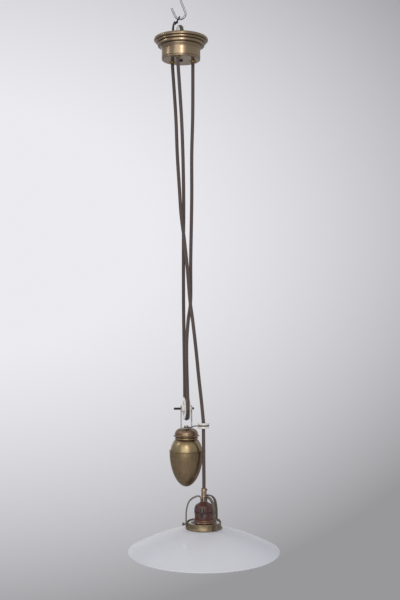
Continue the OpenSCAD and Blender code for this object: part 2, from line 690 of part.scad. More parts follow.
ring_r = gallery_d / 2;
arm_half = arm_t / 2;
arm_r = ring_r + arm_half;
tail_r = tube_d / 2 + arm_half;
tail_l = 9.6;        // how far the arms' tails reach down the tube
reach = arm_r - tail_r;
rise = tube_top - gallery_z;
function arm_at(inward, up) = [arm_r - inward * reach, gallery_z + up * rise];
// Middle line of one arm, from its foot on the ring over the top to its tail on the tube
arm_path = concat([[arm_r, gallery_bottom + 2.6], [arm_r, gallery_z - 1]],
    [for (p = [[0, 0.2], [0.01, 0.38], [0.055, 0.54], [0.148, 0.724], [0.256, 0.821], [0.371, 0.893],
        [0.483, 0.946], [0.6, 0.988], [0.73, 1.022], [0.83, 1.036], [0.9, 1.024], [0.95, 0.984],
        [0.986, 0.934]]) arm_at(p[0], p[1])],
    [[tail_r, tube_top - 5.7], [tail_r, tube_top - tail_l]]);
function across(p, i) = let (a = p[max(i - 1, 0)], b = p[min(i + 1, len(p) - 1)], d = unit(b - a))
    [d[1], -d[0]];
module arm_outline() {
    n = len(arm_path);
    polygon(concat([for (i = [0 : n - 1]) arm_path[i] + arm_half * across(arm_path, i)],
        [for (i = [n - 1 : -1 : 0]) arm_path[i] - arm_half * across(arm_path, i)]));
}
screw_hole_z = gallery_z - 4.8;
module gallery_arm(i) {
    color(dark_iron) at_lamp() rotate([0, 0, arm_turns[i]]) difference() {
        translate([0, arm_w / 2, 0]) rotate([90, 0, 0]) linear_extrude(arm_w) arm_outline();
        translate([ring_r - 3, 0, screw_hole_z]) along_x()
            cylinder(h = 8, d = thumb_d + 2 * fit, $fn = small);
    }
}
module gallery_arm_left() { gallery_arm(0); }
module gallery_arm_front() { gallery_arm(1); }
module gallery_arm_rear() { gallery_arm(2); }

module ring_outline() {
    lip_r = gallery_lip_d / 2;
    translate([ring_r - gallery_t, gallery_bottom + 1.2]) square([gallery_t, gallery_h - 2]);
    translate([ring_r - gallery_t / 2, gallery_z - gallery_t / 2]) circle(d = gallery_t, $fn = 24);
    polygon([[ring_r - gallery_t, gallery_bottom + 3], [ring_r - gallery_t, gallery_bottom + 1.6],
        [lip_r - 1, gallery_bottom], [lip_r, gallery_bottom + 0.4], [lip_r - 0.4, gallery_bottom + 1.4],
        [ring_r, gallery_bottom + 2.4]]);
}
module gallery_ring() {
    color(brass) at_lamp() difference() {
        rotate_extrude($fn = 96) ring_outline();
        for (a = arm_turns) rotate([0, 0, a]) translate([ring_r - 6, 0, screw_hole_z]) along_x()
            cylinder(h = 12, d = thumb_d + 2 * fit, $fn = small);
    }
}
neck_lip_r = ring_r - gallery_t - 1.6;
thumb_tip = shade_neck_d / 2 + 0.3;
thumb_head = ring_r + arm_t + thumb_stem;
thumb_end = thumb_head + thumb_head_l;
module thumbscrew(i) {
    color(dark_iron) at_lamp() rotate([0, 0, arm_turns[i]]) translate([0, 0, screw_hole_z]) along_x() {
        post(thumb_d, thumb_tip, thumb_head);
        translate([0, 0, thumb_head]) cylinder(h = 0.6, d1 = thumb_head_d - 1.2, d2 = thumb_head_d,
            $fn = small);
        post(thumb_head_d, thumb_head + 0.6, thumb_end - 0.6);
        translate([0, 0, thumb_end - 0.6]) cylinder(h = 0.6, d1 = thumb_head_d, d2 = thumb_head_d - 1.2,
            $fn = small);
    }
}
module thumbscrew_left() { thumbscrew(0); }
module thumbscrew_front() { thumbscrew(1); }
module thumbscrew_rear() { thumbscrew(2); }

holder_r = holder_d / 2;
holder_cap_r = holder_cap_d / 2;
cap_roof = 3.4;      // the cap's thickness over the nut, and how wide that seat is
cap_roof_r = 8;
// Conical top of the cap and its shoulder: [share of the radius, drop]
cap_steps = [[0.27, 0], [0.5, 1.5], [0.74, 3.1], [0.88, 4.3], [0.96, 5.4], [1, 7]];
module holder_cap_outline() {
    polygon(concat([[0, holder_z]], [for (p = cap_steps) [holder_cap_r * p[0], holder_z - p[1]]],
        [[holder_cap_r, body_z + boss_split], [0, body_z + boss_split]]));
}
module holder_cap_hollow() {
    wall_r = holder_cap_r - holder_t;
    polygon([[0, holder_z - cap_roof], [cap_roof_r, holder_z - cap_roof], [wall_r, holder_z - 8],
        [wall_r, body_z + boss_split - cut], [0, body_z + boss_split - cut]]);
}
module holder_cap() {
    color(bakelite) at_lamp() difference() {
        union() {
            rotate_extrude($fn = 96) holder_cap_outline();
            for (a = boss_turns) rotate([0, 0, a]) translate([0, 0, body_z]) oval_boss(1);
        }
        rotate_extrude($fn = 96) holder_cap_hollow();
        post(tube_d, holder_z - cap_roof - cut, holder_z + cut);
    }
}
boss_turns = [-103, -13, 77, 167];
boss_h = 24;
boss_w = 8.8;
boss_out = 0.8;
boss_split = 0.1;    // half the seam between the two halves of each oval
ring_z = body_z - 15;
// Half of a tall oval rib with a flat face, above (1) or below (-1) the seam of the holder
module oval_boss(half) {
    reach = holder_r + boss_out;
    root = holder_cap_r - 1;
    intersection() {
        translate([root, 0, 0]) along_x() linear_extrude(reach - root) intersection_for (s = [-1, 1])
            translate([0, s * (boss_side - boss_w / 2)]) circle(r = boss_side, $fn = 120);
        translate([0, -boss_w, half > 0 ? boss_split : -boss_h]) cube([reach + cut, 2 * boss_w,
            boss_h - boss_split]);
    }
}
boss_side = (boss_h * boss_h / 4 + boss_w * boss_w / 4) / boss_w;
module holder_body() {
    color(bakelite) at_lamp() difference() {
        union() {
            post(holder_d, body_bottom, body_z, 96);
            for (a = boss_turns) rotate([0, 0, a]) translate([0, 0, body_z]) oval_boss(-1);
        }
        post(holder_d - 2 * holder_t, body_bottom - cut, body_z + cut, 96);
    }
}
module holder_ring() {
    color(brass) at_lamp() difference() {
        union() {
            post(holder_d + 3.4, ring_z - 6, ring_z, 96);
            post(holder_d + 4.6, ring_z - 6, ring_z - 4.8, 96);
        }
        post(holder_d, ring_z - 6 - cut, ring_z + cut, 96);
    }
}
insert_z = body_z - 14;
insert_h = 10;
shell_top = insert_z - 5;
insert_d = holder_d - 2 * holder_t - 0.4;
module socket_insert() {
    color(porcelain) at_lamp() difference() {
        union() {
            post(insert_d, shell_top, insert_z + insert_h, 96);
            post(insert_d - 8, insert_z + insert_h, body_z + 3, 96);
        }
        post(bulb_shell_d + 1.2, shell_top - cut, insert_z, 96);
        post(tube_d + 3, insert_z + 6, body_z + 3 + cut);
        post(3, insert_z - cut, insert_z + 7);
        for (s = [-1, 1]) translate([0, s * 11.4, 0]) post(3.4, insert_z - cut, body_z + 3 + cut);
    }
}
module bulb_shell() {
    color(brass) at_lamp() difference() {
        union() {
            post(bulb_shell_d + 2 * bulb_shell_t, shell_top - bulb_shell_h, shell_top, 96);
            post(insert_d - 0.8, shell_top - 0.6, shell_top, 96);
        }
        post(bulb_shell_d, shell_top - bulb_shell_h - cut, shell_top + cut, 96);
    }
}
module centre_contact() {
    color(brass) at_lamp() {
        post(3, insert_z, insert_z + 7);
        post(6, insert_z - 0.8, insert_z);
        translate([0, 0, insert_z - 4]) cylinder(h = 3.2, d1 = 3.4, d2 = 5.2, $fn = small);
    }
}
module socket_terminals() {
    color(brass) at_lamp() for (s = [-1, 1]) translate([0, s * 11.4, 0]) {
        post(3.4, insert_z + 0.4, body_z + 3);
        translate([0, 0, body_z + 3]) difference() {
            cylinder(h = 2, d = 5.6, $fn = small);
            translate([-3, -0.4, 1.2]) cube([6, 0.8, 2]);
        }
    }
}

// ---------- shade ----------

shade_r = shade_d / 2;
shade_rim_z = gallery_bottom - shade_h;
swell = 0.1;         // how much the cone's line swells outward
neck_r = shade_neck_d / 2;
shade_top_r = gallery_lip_d / 2 - 1.4;
neck_top = gallery_z - 1.2;
lip_h = 2;
// Outer line of the cone at share s of the way out, with a slight swell and a rounded edge
function cone_point(s, t) = [shade_top_r + (shade_r - shade_top_r - 2.4) * s,
    gallery_bottom - 0.4 - (shade_h - 4) * (s - swell * sin(180 * s)) - t];
module shade_outline() {
    steps = 14;
    outer = [for (i = [0 : steps]) cone_point(i / steps, 0)];
    inner = [for (i = [steps : -1 : 0]) cone_point(i / steps, glass_t * 1.06)];
    edge = [for (a = [60 : -24 : -108]) [shade_r - glass_t / 2 + glass_t / 2 * cos(a),
        shade_rim_z + glass_t / 2 + glass_t / 2 * sin(a)]];
    polygon(concat(outer, edge, inner,
        [[neck_r - glass_t, gallery_bottom - 0.4 - glass_t], [neck_r - glass_t, neck_top],
            [neck_lip_r, neck_top], [neck_lip_r, neck_top - lip_h], [neck_r, neck_top - lip_h],
            [neck_r, gallery_bottom - 0.4]]));
}
module shade() { color(opal) at_lamp() rotate_extrude($fn = 120) shade_outline(); }

ceiling_hook();
hanging_link();
hanging_strap();
canopy_cup();
canopy_screw();
canopy_nut();
cord_bushes();
ceiling_wheel();
ceiling_axle();
cord_clamp();
clamp_screw();
terminal_block();
terminal_screws();
cord_cores();
canopy_cord();
fixed_cord();
return_cord();
lamp_cord_upper();
weight_cord();
weight_wheel();
weight_axle();
weight_fork();
weight_nut();
tie_rod();
weight_cap();
weight_dome();
weight_egg();
ballast();
guide_arm();
guide_eye();
lamp_cord_lower();
cord_grip();
grip_screw();
threaded_tube();
tube_nut();
gallery_arm_left();
gallery_arm_front();
gallery_arm_rear();
gallery_ring();
thumbscrew_left();
thumbscrew_front();
thumbscrew_rear();
holder_cap();
holder_body();
holder_ring();
socket_insert();
bulb_shell();
centre_contact();
socket_terminals();
shade();
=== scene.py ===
"""Rise and fall pendant: finishes, turned shells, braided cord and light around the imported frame.

Lengths are in millimetres until they reach Blender, and turns in degrees. Heights are counted from
the ceiling, apart from those of profiles and lines that are moved down by RIM, which are counted
from the canopy's rim.
"""

import math

import bpy
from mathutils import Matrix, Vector


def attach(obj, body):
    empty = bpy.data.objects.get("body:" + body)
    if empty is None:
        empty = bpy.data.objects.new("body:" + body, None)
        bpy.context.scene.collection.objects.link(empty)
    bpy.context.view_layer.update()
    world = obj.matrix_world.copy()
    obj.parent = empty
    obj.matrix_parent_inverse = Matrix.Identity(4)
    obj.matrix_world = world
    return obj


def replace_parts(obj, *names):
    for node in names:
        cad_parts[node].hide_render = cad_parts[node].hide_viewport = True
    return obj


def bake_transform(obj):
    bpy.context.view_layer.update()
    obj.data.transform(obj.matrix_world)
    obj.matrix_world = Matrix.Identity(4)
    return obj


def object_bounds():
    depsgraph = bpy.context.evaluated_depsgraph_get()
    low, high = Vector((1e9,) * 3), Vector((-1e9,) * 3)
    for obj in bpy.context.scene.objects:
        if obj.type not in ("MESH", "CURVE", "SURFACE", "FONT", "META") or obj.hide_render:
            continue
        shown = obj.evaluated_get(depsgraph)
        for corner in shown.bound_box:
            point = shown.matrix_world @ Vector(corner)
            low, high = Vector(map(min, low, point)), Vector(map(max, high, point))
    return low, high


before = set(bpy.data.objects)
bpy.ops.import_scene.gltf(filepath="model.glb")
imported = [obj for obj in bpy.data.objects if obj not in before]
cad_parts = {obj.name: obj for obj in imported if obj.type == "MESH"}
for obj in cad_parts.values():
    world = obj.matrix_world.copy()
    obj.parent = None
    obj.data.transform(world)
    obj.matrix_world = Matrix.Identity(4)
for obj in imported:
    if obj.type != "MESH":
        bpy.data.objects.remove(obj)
cad_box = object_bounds()

MM = 0.001

# The canopy's rim hangs this far under the ceiling
RIM = -92.0

# Places of the three plumb lines, seen from above
WEIGHT_AT = (11.0, 0.0)
GUIDE_AT = (46.0, -20.0)
LAMP_AT = (47.0, -20.0)

# Middle of each wheel, and the turn of its axle about the vertical
CEILING_WHEEL = {"at": (-2.911, -0.726, -89.8), "turn": 14.0}
WEIGHT_WHEEL = {"at": (11.0, 0.0, -850.5), "turn": 9.5}

# Turns of the gallery's arms and of the lampholder's ovals about the lamp
ARM_TURNS = {"left": 185, "front": -54, "rear": 45}
OVAL_TURNS = (-103, -13, 77, 167)

# How far apart two corners are merged, in metres
SAME_PLACE = 1e-6


# ---------------------------------------------------------------- camera

camera_data = bpy.data.cameras.new("photo_camera")
camera_data.lens = 53.16
camera_data.sensor_width = 36
camera_data.shift_y = 0.02
camera_data.clip_end = 30
camera = bpy.data.objects.new("photo_camera", camera_data)
bpy.context.collection.objects.link(camera)
camera.location = (0.039, -1.816, -0.6527)
camera.rotation_euler = (math.radians(90), 0, 0)
bpy.context.scene.camera = camera


# ---------------------------------------------------------------- nodes that many effects use


def maths(nodes, links, operation, a, b=None, c=None):
    """One sum; a, b and c are numbers or outputs of other nodes."""
    node = nodes.new("ShaderNodeMath")
    node.operation = operation
    for place, value in enumerate((a, b, c)):
        if value is None:
            continue
        if isinstance(value, (int, float)):
            node.inputs[place].default_value = value
        else:
            links.new(value, node.inputs[place])
    return node.outputs[0]


def mixed(nodes, links, factor, a, b):
    """A colour between a and b, which are plain colours or outputs of other nodes."""
    node = nodes.new("ShaderNodeMix")
    node.data_type = "RGBA"
    for name, value in (("A", a), ("B", b)):
        if isinstance(value, tuple):
            node.inputs[name].default_value = (*value, 1)
        else:
            links.new(value, node.inputs[name])
    links.new(factor, node.inputs["Factor"])
    return node.outputs["Result"]


def ranged(nodes, links, value, to, within=(0.0, 1.0), smooth=False):
    """A value between the two of to, as value goes between the two of within."""
    node = nodes.new("ShaderNodeMapRange")
    if smooth:
        node.interpolation_type = "SMOOTHSTEP"
    node.inputs["From Min"].default_value, node.inputs["From Max"].default_value = within
    node.inputs["To Min"].default_value, node.inputs["To Max"].default_value = to
    links.new(value, node.inputs["Value"])
    return node.outputs[0]


def noise(nodes, links, place, detail, scale):
    """Noise over a place; its scale is a number or an output of another node."""
    node = nodes.new("ShaderNodeTexNoise")
    node.inputs["Detail"].default_value = detail
    links.new(place, node.inputs["Vector"])
    if isinstance(scale, (int, float)):
        node.inputs["Scale"].default_value = scale
    else:
        links.new(scale, node.inputs["Scale"])
    return node


def object_place(nodes):
    return nodes.new("ShaderNodeTexCoord").outputs["Object"]


def separated(nodes, links, vector):
    node = nodes.new("ShaderNodeSeparateXYZ")
    links.new(vector, node.inputs[0])
    return node.outputs


def effect(nodes, group, **values):
    """A shared effect placed in a material, with its own values."""
    node = nodes.new("ShaderNodeGroup")
    node.node_tree = group
    for name, value in values.items():
        node.inputs[name.replace("_", " ")].default_value = value
    return node


def relief(nodes, links, shader, height, strength, distance):
    """Gives a shader the fine relief of a height, as deep as distance in metres."""
    node = nodes.new("ShaderNodeBump")
    node.inputs["Strength"].default_value = strength
    node.inputs["Distance"].default_value = distance
    links.new(height, node.inputs["Height"])
    links.new(node.outputs[0], shader.inputs["Normal"])


# ---------------------------------------------------------------- shared shader effects


def new_group(name, inputs, outputs):
    """An empty effect whose inputs are given with their usual values."""
    group = bpy.data.node_groups.new(name, "ShaderNodeTree")
    for title, value in inputs.items():
        made = group.interface.new_socket(title, in_out="INPUT", socket_type="NodeSocketFloat")
        made.default_value = value
    for title in outputs:
        group.interface.new_socket(title, in_out="OUTPUT", socket_type="NodeSocketFloat")
    inside = group.nodes.new("NodeGroupInput")
    outside = group.nodes.new("NodeGroupOutput")
    return group, inside.outputs, outside.inputs


def mottle_group():
    """Cloudy patina with darker freckles: puts out how dark each place is, and its height."""
    group, given, result = new_group("mottle", {"Size": 40.0, "Freckles": 0.3, "Streaks": 0.0},
                                     ("Darkness", "Height"))
    nodes, links = group.nodes, group.links
    place = object_place(nodes)
    clouds = noise(nodes, links, place, 6, given["Size"])
    clouds.inputs["Roughness"].default_value = 0.62
    fine = maths(nodes, links, "MULTIPLY", given["Size"], 14.0)
    specks = noise(nodes, links, place, 3, fine)
    squeezed = nodes.new("ShaderNodeMapping")
    squeezed.inputs["Scale"].default_value = (1, 1, 0.06)
    links.new(place, squeezed.inputs["Vector"])
    narrow = maths(nodes, links, "MULTIPLY", given["Size"], 5.0)
    streaks = noise(nodes, links, squeezed.outputs["Vector"], 4, narrow)
    cloud_part = maths(nodes, links, "MULTIPLY_ADD", clouds.outputs["Fac"], 2.6, -0.8)
    speck_part = maths(nodes, links, "GREATER_THAN", specks.outputs["Fac"], 0.6)
    speck_part = maths(nodes, links, "MULTIPLY", speck_part, given["Freckles"])
    streak_part = maths(nodes, links, "SUBTRACT", streaks.outputs["Fac"], 0.5)
    streak_part = maths(nodes, links, "MULTIPLY", streak_part, given["Streaks"])
    total = maths(nodes, links, "ADD", cloud_part, speck_part)
    total = maths(nodes, links, "ADD", total, streak_part)
    clamped = nodes.new("ShaderNodeClamp")
    links.new(total, clamped.inputs["Value"])
    links.new(clamped.outputs[0], result["Darkness"])
    height = maths(nodes, links, "MULTIPLY_ADD", specks.outputs["Fac"], 0.4, clouds.outputs["Fac"])
    links.new(height, result["Height"])
    return group


def braid_group():
    """Plaited yarn round a cord. UV: u is metres along the cord, v is once round it."""
    group, given, result = new_group("braid", {"Yarns": 12.0, "Lay": 420.0}, ("Height", "Valley Shade"))
    nodes, links = group.nodes, group.links
    place = nodes.new("ShaderNodeUVMap")
    place.uv_map = "along"
    parts = separated(nodes, links, place.outputs[0])
    along = maths(nodes, links, "MULTIPLY", parts["X"], given["Lay"])
    around = maths(nodes, links, "MULTIPLY", parts["Y"], given["Yarns"])
    waves = []
    for way_round in (1, -1):
        turn = maths(nodes, links, "MULTIPLY_ADD", around, way_round, along)
        turn = maths(nodes, links, "MULTIPLY", turn, math.tau)
        waves.append(maths(nodes, links, "SINE", turn))
    plait = maths(nodes, links, "MAXIMUM", waves[0], waves[1])
    plait = maths(nodes, links, "MULTIPLY_ADD", plait, 0.5, 0.5)
    fluff = noise(nodes, links, object_place(nodes), 3, 2400)
    height = maths(nodes, links, "MULTIPLY_ADD", fluff.outputs["Fac"], 0.25, plait)
    links.new(height, result["Height"])
    # Painted shade: how deep in a valley between the yarns a place is
    links.new(maths(nodes, links, "SUBTRACT", 1.0, plait), result["Valley Shade"])
    return group


def groove_grime_and_shade_group():
    """Dark lines along a turned piece's grooves, painted shade in the recesses with some dirt: puts out how
    deep in one a place is.
    """
    group, given, result = new_group("groove_grime_and_shade_line", {"Groove": 0.0, "Half Width": 0.001, "Before": 0.0},
                                     ("Darkness",))
    nodes, links = group.nodes, group.links
    height = separated(nodes, links, object_place(nodes))["Z"]
    away = maths(nodes, links, "SUBTRACT", height, given["Groove"])
    away = maths(nodes, links, "DIVIDE", maths(nodes, links, "ABSOLUTE", away), given["Half Width"])
    depth = maths(nodes, links, "MAXIMUM", maths(nodes, links, "SUBTRACT", 1.0, away), 0.0)
    links.new(maths(nodes, links, "MAXIMUM", depth, given["Before"]), result["Darkness"])
    return group


MOTTLE = mottle_group()
GROOVE_GRIME_AND_SHADE = groove_grime_and_shade_group()
BRAID = braid_group()


# ---------------------------------------------------------------- materials


def new_material(name):
    made = bpy.data.materials.new(name)
    made.use_nodes = True
    return made, made.node_tree.nodes, made.node_tree.links, made.node_tree.nodes["Principled BSDF"]


def set_sockets(shader, values):
    for name, value in values.items():
        shader.inputs[name].default_value = value


def grime_and_shade_depth(nodes, links, grooves):
    """How deep in any of the grooves a place is: each adds its line to those before it."""
    depth = None
    for height, half in grooves:
        line = effect(nodes, GROOVE_GRIME_AND_SHADE, Groove=(height + RIM) * MM, Half_Width=half * MM)
        if depth:
            links.new(depth, line.inputs["Before"])
        depth = line.outputs["Darkness"]
    return depth


FINISH = {}


def patina(name, light, dark, metallic=1.0, rough=(0.3, 0.5), size=40.0, freckles=0.3,
           streaks=0.0, bump=0.04, coat=0.0, glaze=0.03, grooves=(), grime_and_shade_colour=(0.03, 0.02, 0.014)):
    """A material whose colour and roughness run from light and clean to dark and dull, with dark lines
    in its grooves, each a height from the rim and half a width: painted shade with some dirt. A coat has
    the roughness glaze.
    It is kept in FINISH under its name."""
    made, nodes, links, shader = new_material(name)
    mottle = effect(nodes, MOTTLE, Size=size, Freckles=freckles, Streaks=streaks)
    darkness = mottle.outputs["Darkness"]
    colour = mixed(nodes, links, darkness, light, dark)
    if grooves:
        # The grooves' dark lines are painted shade in the recesses, with some dirt
        grime_and_shade_share = maths(nodes, links, "MULTIPLY", grime_and_shade_depth(nodes, links, grooves), 0.7)
        colour = mixed(nodes, links, grime_and_shade_share, colour, grime_and_shade_colour)
    links.new(colour, shader.inputs["Base Color"])
    links.new(ranged(nodes, links, darkness, rough), shader.inputs["Roughness"])
    relief(nodes, links, shader, mottle.outputs["Height"], bump, 0.001)
    set_sockets(shader, {"Metallic": metallic, "Coat Weight": coat, "Coat Roughness": glaze})
    FINISH[name] = made


def braided_textile(name, light, dark, valley_shade):
    """Plaited yarn that fades between two tones, with painted shade in the valleys between the yarns."""
    made, nodes, links, shader = new_material(name)
    braid = effect(nodes, BRAID)
    fade = effect(nodes, MOTTLE, Size=9.0, Freckles=0.1)
    yarn = mixed(nodes, links, fade.outputs["Darkness"], light, dark)
    # Painted shade darkens the valleys between the yarns
    shaded = maths(nodes, links, "MULTIPLY", braid.outputs["Valley Shade"], 0.85)
    links.new(mixed(nodes, links, shaded, yarn, valley_shade), shader.inputs["Base Color"])
    relief(nodes, links, shader, braid.outputs["Height"], 0.55, 0.0004)
    set_sockets(shader, {"Roughness": 0.78, "Sheen Weight": 0.15, "Sheen Roughness": 0.5})
    return made


def opal_glass():
    """Milky glass: soft body colour with a faint cloud in it, under a thin clear gloss."""
    made, nodes, links, shader = new_material("opal_glass")
    cloud = effect(nodes, MOTTLE, Size=5.0, Freckles=0.0)
    tint = mixed(nodes, links, cloud.outputs["Darkness"], (0.645, 0.65, 0.698), (0.63, 0.628, 0.648))
    links.new(tint, shader.inputs["Base Color"])
    relief(nodes, links, shader, cloud.outputs["Height"], 0.015, 0.002)
    set_sockets(shader, {
        "Roughness": 0.4, "Specular IOR Level": 0.15, "Coat Weight": 0.4, "Coat Roughness": 0.06,
        "Subsurface Weight": 0.35, "Subsurface Radius": (0.006, 0.006, 0.006),
    })
    return made


# The canopy's groove lines are painted shade in its mouldings, with some dirt
patina("canopy_brass", (0.375, 0.295, 0.185), (0.29, 0.21, 0.14),
       rough=(0.27, 0.31), size=14, freckles=0.12, bump=0.003, coat=0.12, glaze=0.24,
       grooves=((-6.3, 0.5), (-10.8, 0.7), (-17.3, 0.6), (-41.6, 0.5)))
patina("cap_brass", (0.36, 0.25, 0.155), (0.20, 0.13, 0.085),
       rough=(0.26, 0.36), size=40, freckles=0.2, bump=0.008, coat=0.25, glaze=0.2)
# The dome's reddish groove bands, at the neck and under the bead, are painted shade with some dirt
patina("dome_brass", (0.40, 0.312, 0.163), (0.28, 0.20, 0.102),
       rough=(0.29, 0.35), size=40, freckles=0.12, bump=0.005, coat=0.5, glaze=0.17,
       grooves=((-815.6, 1.2), (-822.4, 3.4)), grime_and_shade_colour=(0.12, 0.062, 0.045))
# The dark line in the egg's groove under the seam is painted shade, with some dirt
patina("egg_bronze", (0.38, 0.28, 0.16), (0.18, 0.12, 0.072),
       rough=(0.32, 0.42), size=22, freckles=0.2, streaks=0.4, bump=0.012,
       grooves=((-846.1, 0.6),))
patina("bush_brass", (0.55, 0.42, 0.17), (0.28, 0.21, 0.10),
       rough=(0.2, 0.34), size=90, freckles=0.2)
patina("collar_copper", (0.36, 0.22, 0.145), (0.16, 0.09, 0.06),
       metallic=0.7, rough=(0.25, 0.4), size=70, freckles=0.25)
patina("gallery_brass", (0.44, 0.345, 0.205), (0.19, 0.15, 0.10),
       rough=(0.27, 0.42), size=42, freckles=0.35, bump=0.02)
patina("grip_brass", (0.46, 0.35, 0.24), (0.26, 0.19, 0.13),
       rough=(0.3, 0.45), size=90, freckles=0.25)
patina("arm_metal", (0.24, 0.20, 0.165), (0.115, 0.092, 0.078),
       metallic=0.6, rough=(0.32, 0.5), size=80, freckles=0.4, bump=0.02)
patina("black_iron", (0.045, 0.043, 0.042), (0.018, 0.016, 0.015),
       metallic=0.8, rough=(0.4, 0.6), size=120, freckles=0.5, bump=0.12)
patina("zinc", (0.46, 0.46, 0.475), (0.36, 0.36, 0.375),
       rough=(0.4, 0.5), size=130, freckles=0.1, bump=0.02)
patina("fork_steel", (0.6, 0.59, 0.57), (0.3, 0.29, 0.28),
       rough=(0.22, 0.42), size=110, freckles=0.3)
patina("glazed_porcelain", (0.80, 0.77, 0.72), (0.66, 0.61, 0.55),
       metallic=0.0, rough=(0.12, 0.22), size=45, freckles=0.12,
       bump=0.01, coat=0.6)
patina("brown_bakelite", (0.125, 0.046, 0.033), (0.058, 0.024, 0.018),
       metallic=0.0, rough=(0.32, 0.46), size=70, freckles=0.25,
       bump=0.02, coat=0.12)
patina("dark_oval", (0.016, 0.022, 0.020), (0.008, 0.010, 0.010),
       metallic=0.0, rough=(0.1, 0.2), size=90, freckles=0.1, bump=0.01, coat=0.8)
patina("cast_iron", (0.2, 0.2, 0.21), (0.09, 0.09, 0.09),
       metallic=0.8, rough=(0.5, 0.7), size=120, bump=0.2)
patina("core_rubber", (0.6, 0.55, 0.46), (0.45, 0.4, 0.33),
       metallic=0.0, rough=(0.5, 0.7), size=200, bump=0.05)
# Each cord finish's third colour is the painted shade in the valleys between its yarns
TEXTILE = braided_textile("braided_textile", (0.112, 0.075, 0.066), (0.078, 0.053, 0.048),
                          (0.040, 0.027, 0.024))
# A darker copy of the cord for the strands round the two wheels: painted shade, with some grease
GREASE_AND_SHADE_TEXTILE = braided_textile("grease_and_shade_textile", (0.062, 0.055, 0.045), (0.034, 0.031, 0.027),
                          (0.016, 0.014, 0.012))
OPAL = opal_glass()


def only(piece):
    """Makes a piece the one that the next operator works on."""
    bpy.ops.object.select_all(action="DESELECT")
    piece.select_set(True)
    bpy.context.view_layer.objects.active = piece


def link_up(name, data):
    """A new object of its own in the scene."""
    piece = bpy.data.objects.new(name, data)
    bpy.context.collection.objects.link(piece)
    return piece


def finish(piece, material, smooth=35):
    """Gives a piece its one material, and smooth shading up to so sharp an edge."""
    piece.data.materials.clear()
    piece.data.materials.append(material)
    only(piece)
    bpy.ops.object.shade_smooth_by_angle(angle=math.radians(smooth))
    return piece


def in_place_of(node, body, piece, material, smooth=35):
    """Finishes a piece, which then stands for a node of the frame and rides on the node's body."""
    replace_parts(finish(piece, material, smooth), node)
    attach(piece, body)


def settle(piece, at=(0, 0, 0), tilt=(0, 0, 0)):
    """Turns and moves a piece to its place in the frame, and leaves its object at the origin."""
    only(piece)
    piece.rotation_euler = [math.radians(a) for a in tilt]
    piece.location = [c * MM for c in at]
    bpy.ops.object.transform_apply(location=True, rotation=True, scale=True)
    return piece


def outwards(piece):
    """Merges a mesh's doubled corners and points its faces outwards."""
    only(piece)
    bpy.ops.object.mode_set(mode="EDIT")
    bpy.ops.mesh.select_all(action="SELECT")
    bpy.ops.mesh.remove_doubles(threshold=SAME_PLACE)
    bpy.ops.mesh.normals_make_consistent(inside=False)
    bpy.ops.object.mode_set(mode="OBJECT")
    return piece


def applied(piece, modifier):
    """Makes a modifier's result the piece's own mesh."""
    only(piece)
    bpy.ops.object.modifier_apply(modifier=modifier.name)
    return piece


def bevelled(piece, width, segments, angle):
    """Rounds the edges that are sharper than an angle."""
    edge = piece.modifiers.new("edge", "BEVEL")
    edge.width = width * MM
    edge.segments = segments
    edge.limit_method = "ANGLE"
    edge.angle_limit = math.radians(angle)
    return applied(piece, edge)


def turned(name, profile, sides):
    """A turned piece: a circle drawn out along a profile of (radius, height), which closes on
    itself."""
    bpy.ops.object.select_all(action="DESELECT")
    start_r, start_z = profile[0]
    bpy.ops.mesh.primitive_circle_add(vertices=sides, radius=start_r * MM, location=(0, 0, 0))
    piece = bpy.context.object
    piece.name = name
    bpy.ops.object.mode_set(mode="EDIT")
    bpy.ops.mesh.select_all(action="SELECT")
    bpy.ops.transform.translate(value=(0, 0, start_z * MM))
    r, z = start_r, start_z
    for next_r, next_z in list(profile[1:]) + [profile[0]]:
        rise = (next_z - z) * MM
        bpy.ops.mesh.extrude_edges_move(TRANSFORM_OT_translate={"value": (0, 0, rise)})
        if next_r != r:
            ratio = next_r / r
            bpy.ops.transform.resize(value=(ratio, ratio, 1), center_override=(0, 0, next_z * MM))
        r, z = next_r, next_z
    bpy.ops.object.mode_set(mode="OBJECT")
    return outwards(piece)


def turns(start, end, steps):
    """Angles in radians from start to end, in so many steps."""
    return [math.radians(start + (end - start) * i / steps) for i in range(steps + 1)]


def oval_arc(r, z, across, up, start, end, steps):
    """Profile points on an oval round (r, z), angles from straight outwards."""
    return [(r + across * math.cos(a), z + up * math.sin(a)) for a in turns(start, end, steps)]


def arc(r, z, radius, start, end, steps):
    return oval_arc(r, z, radius, radius, start, end, steps)


def mirrored(profile):
    """The same profile under the middle, from its last point back to its first."""
    return [(r, -z) for r, z in reversed(profile)]


def shifted(profile, rise=RIM):
    """A profile moved up, or down from the rim's heights to the ceiling's."""
    return [(r, z + rise) for r, z in profile]


def under_rim(line):
    return [p + Vector((0, 0, RIM)) for p in line]


def smooth_line(points, step):
    """Points about a step apart on a smooth curve through the given ones."""
    pts = [Vector(p) for p in points]
    ends = [pts[0] * 2 - pts[1]] + pts + [pts[-1] * 2 - pts[-2]]
    made = []
    for i in range(1, len(ends) - 2):
        a, b, c, d = ends[i - 1:i + 3]
        n = max(1, round((c - b).length / step))
        for k in range(n):
            t = k / n
            made.append(0.5 * (2 * b + (c - a) * t + (2 * a - 5 * b + 4 * c - d) * t * t
                               + (3 * b - 3 * c + d - a) * t ** 3))
    made.append(pts[-1])
    return made


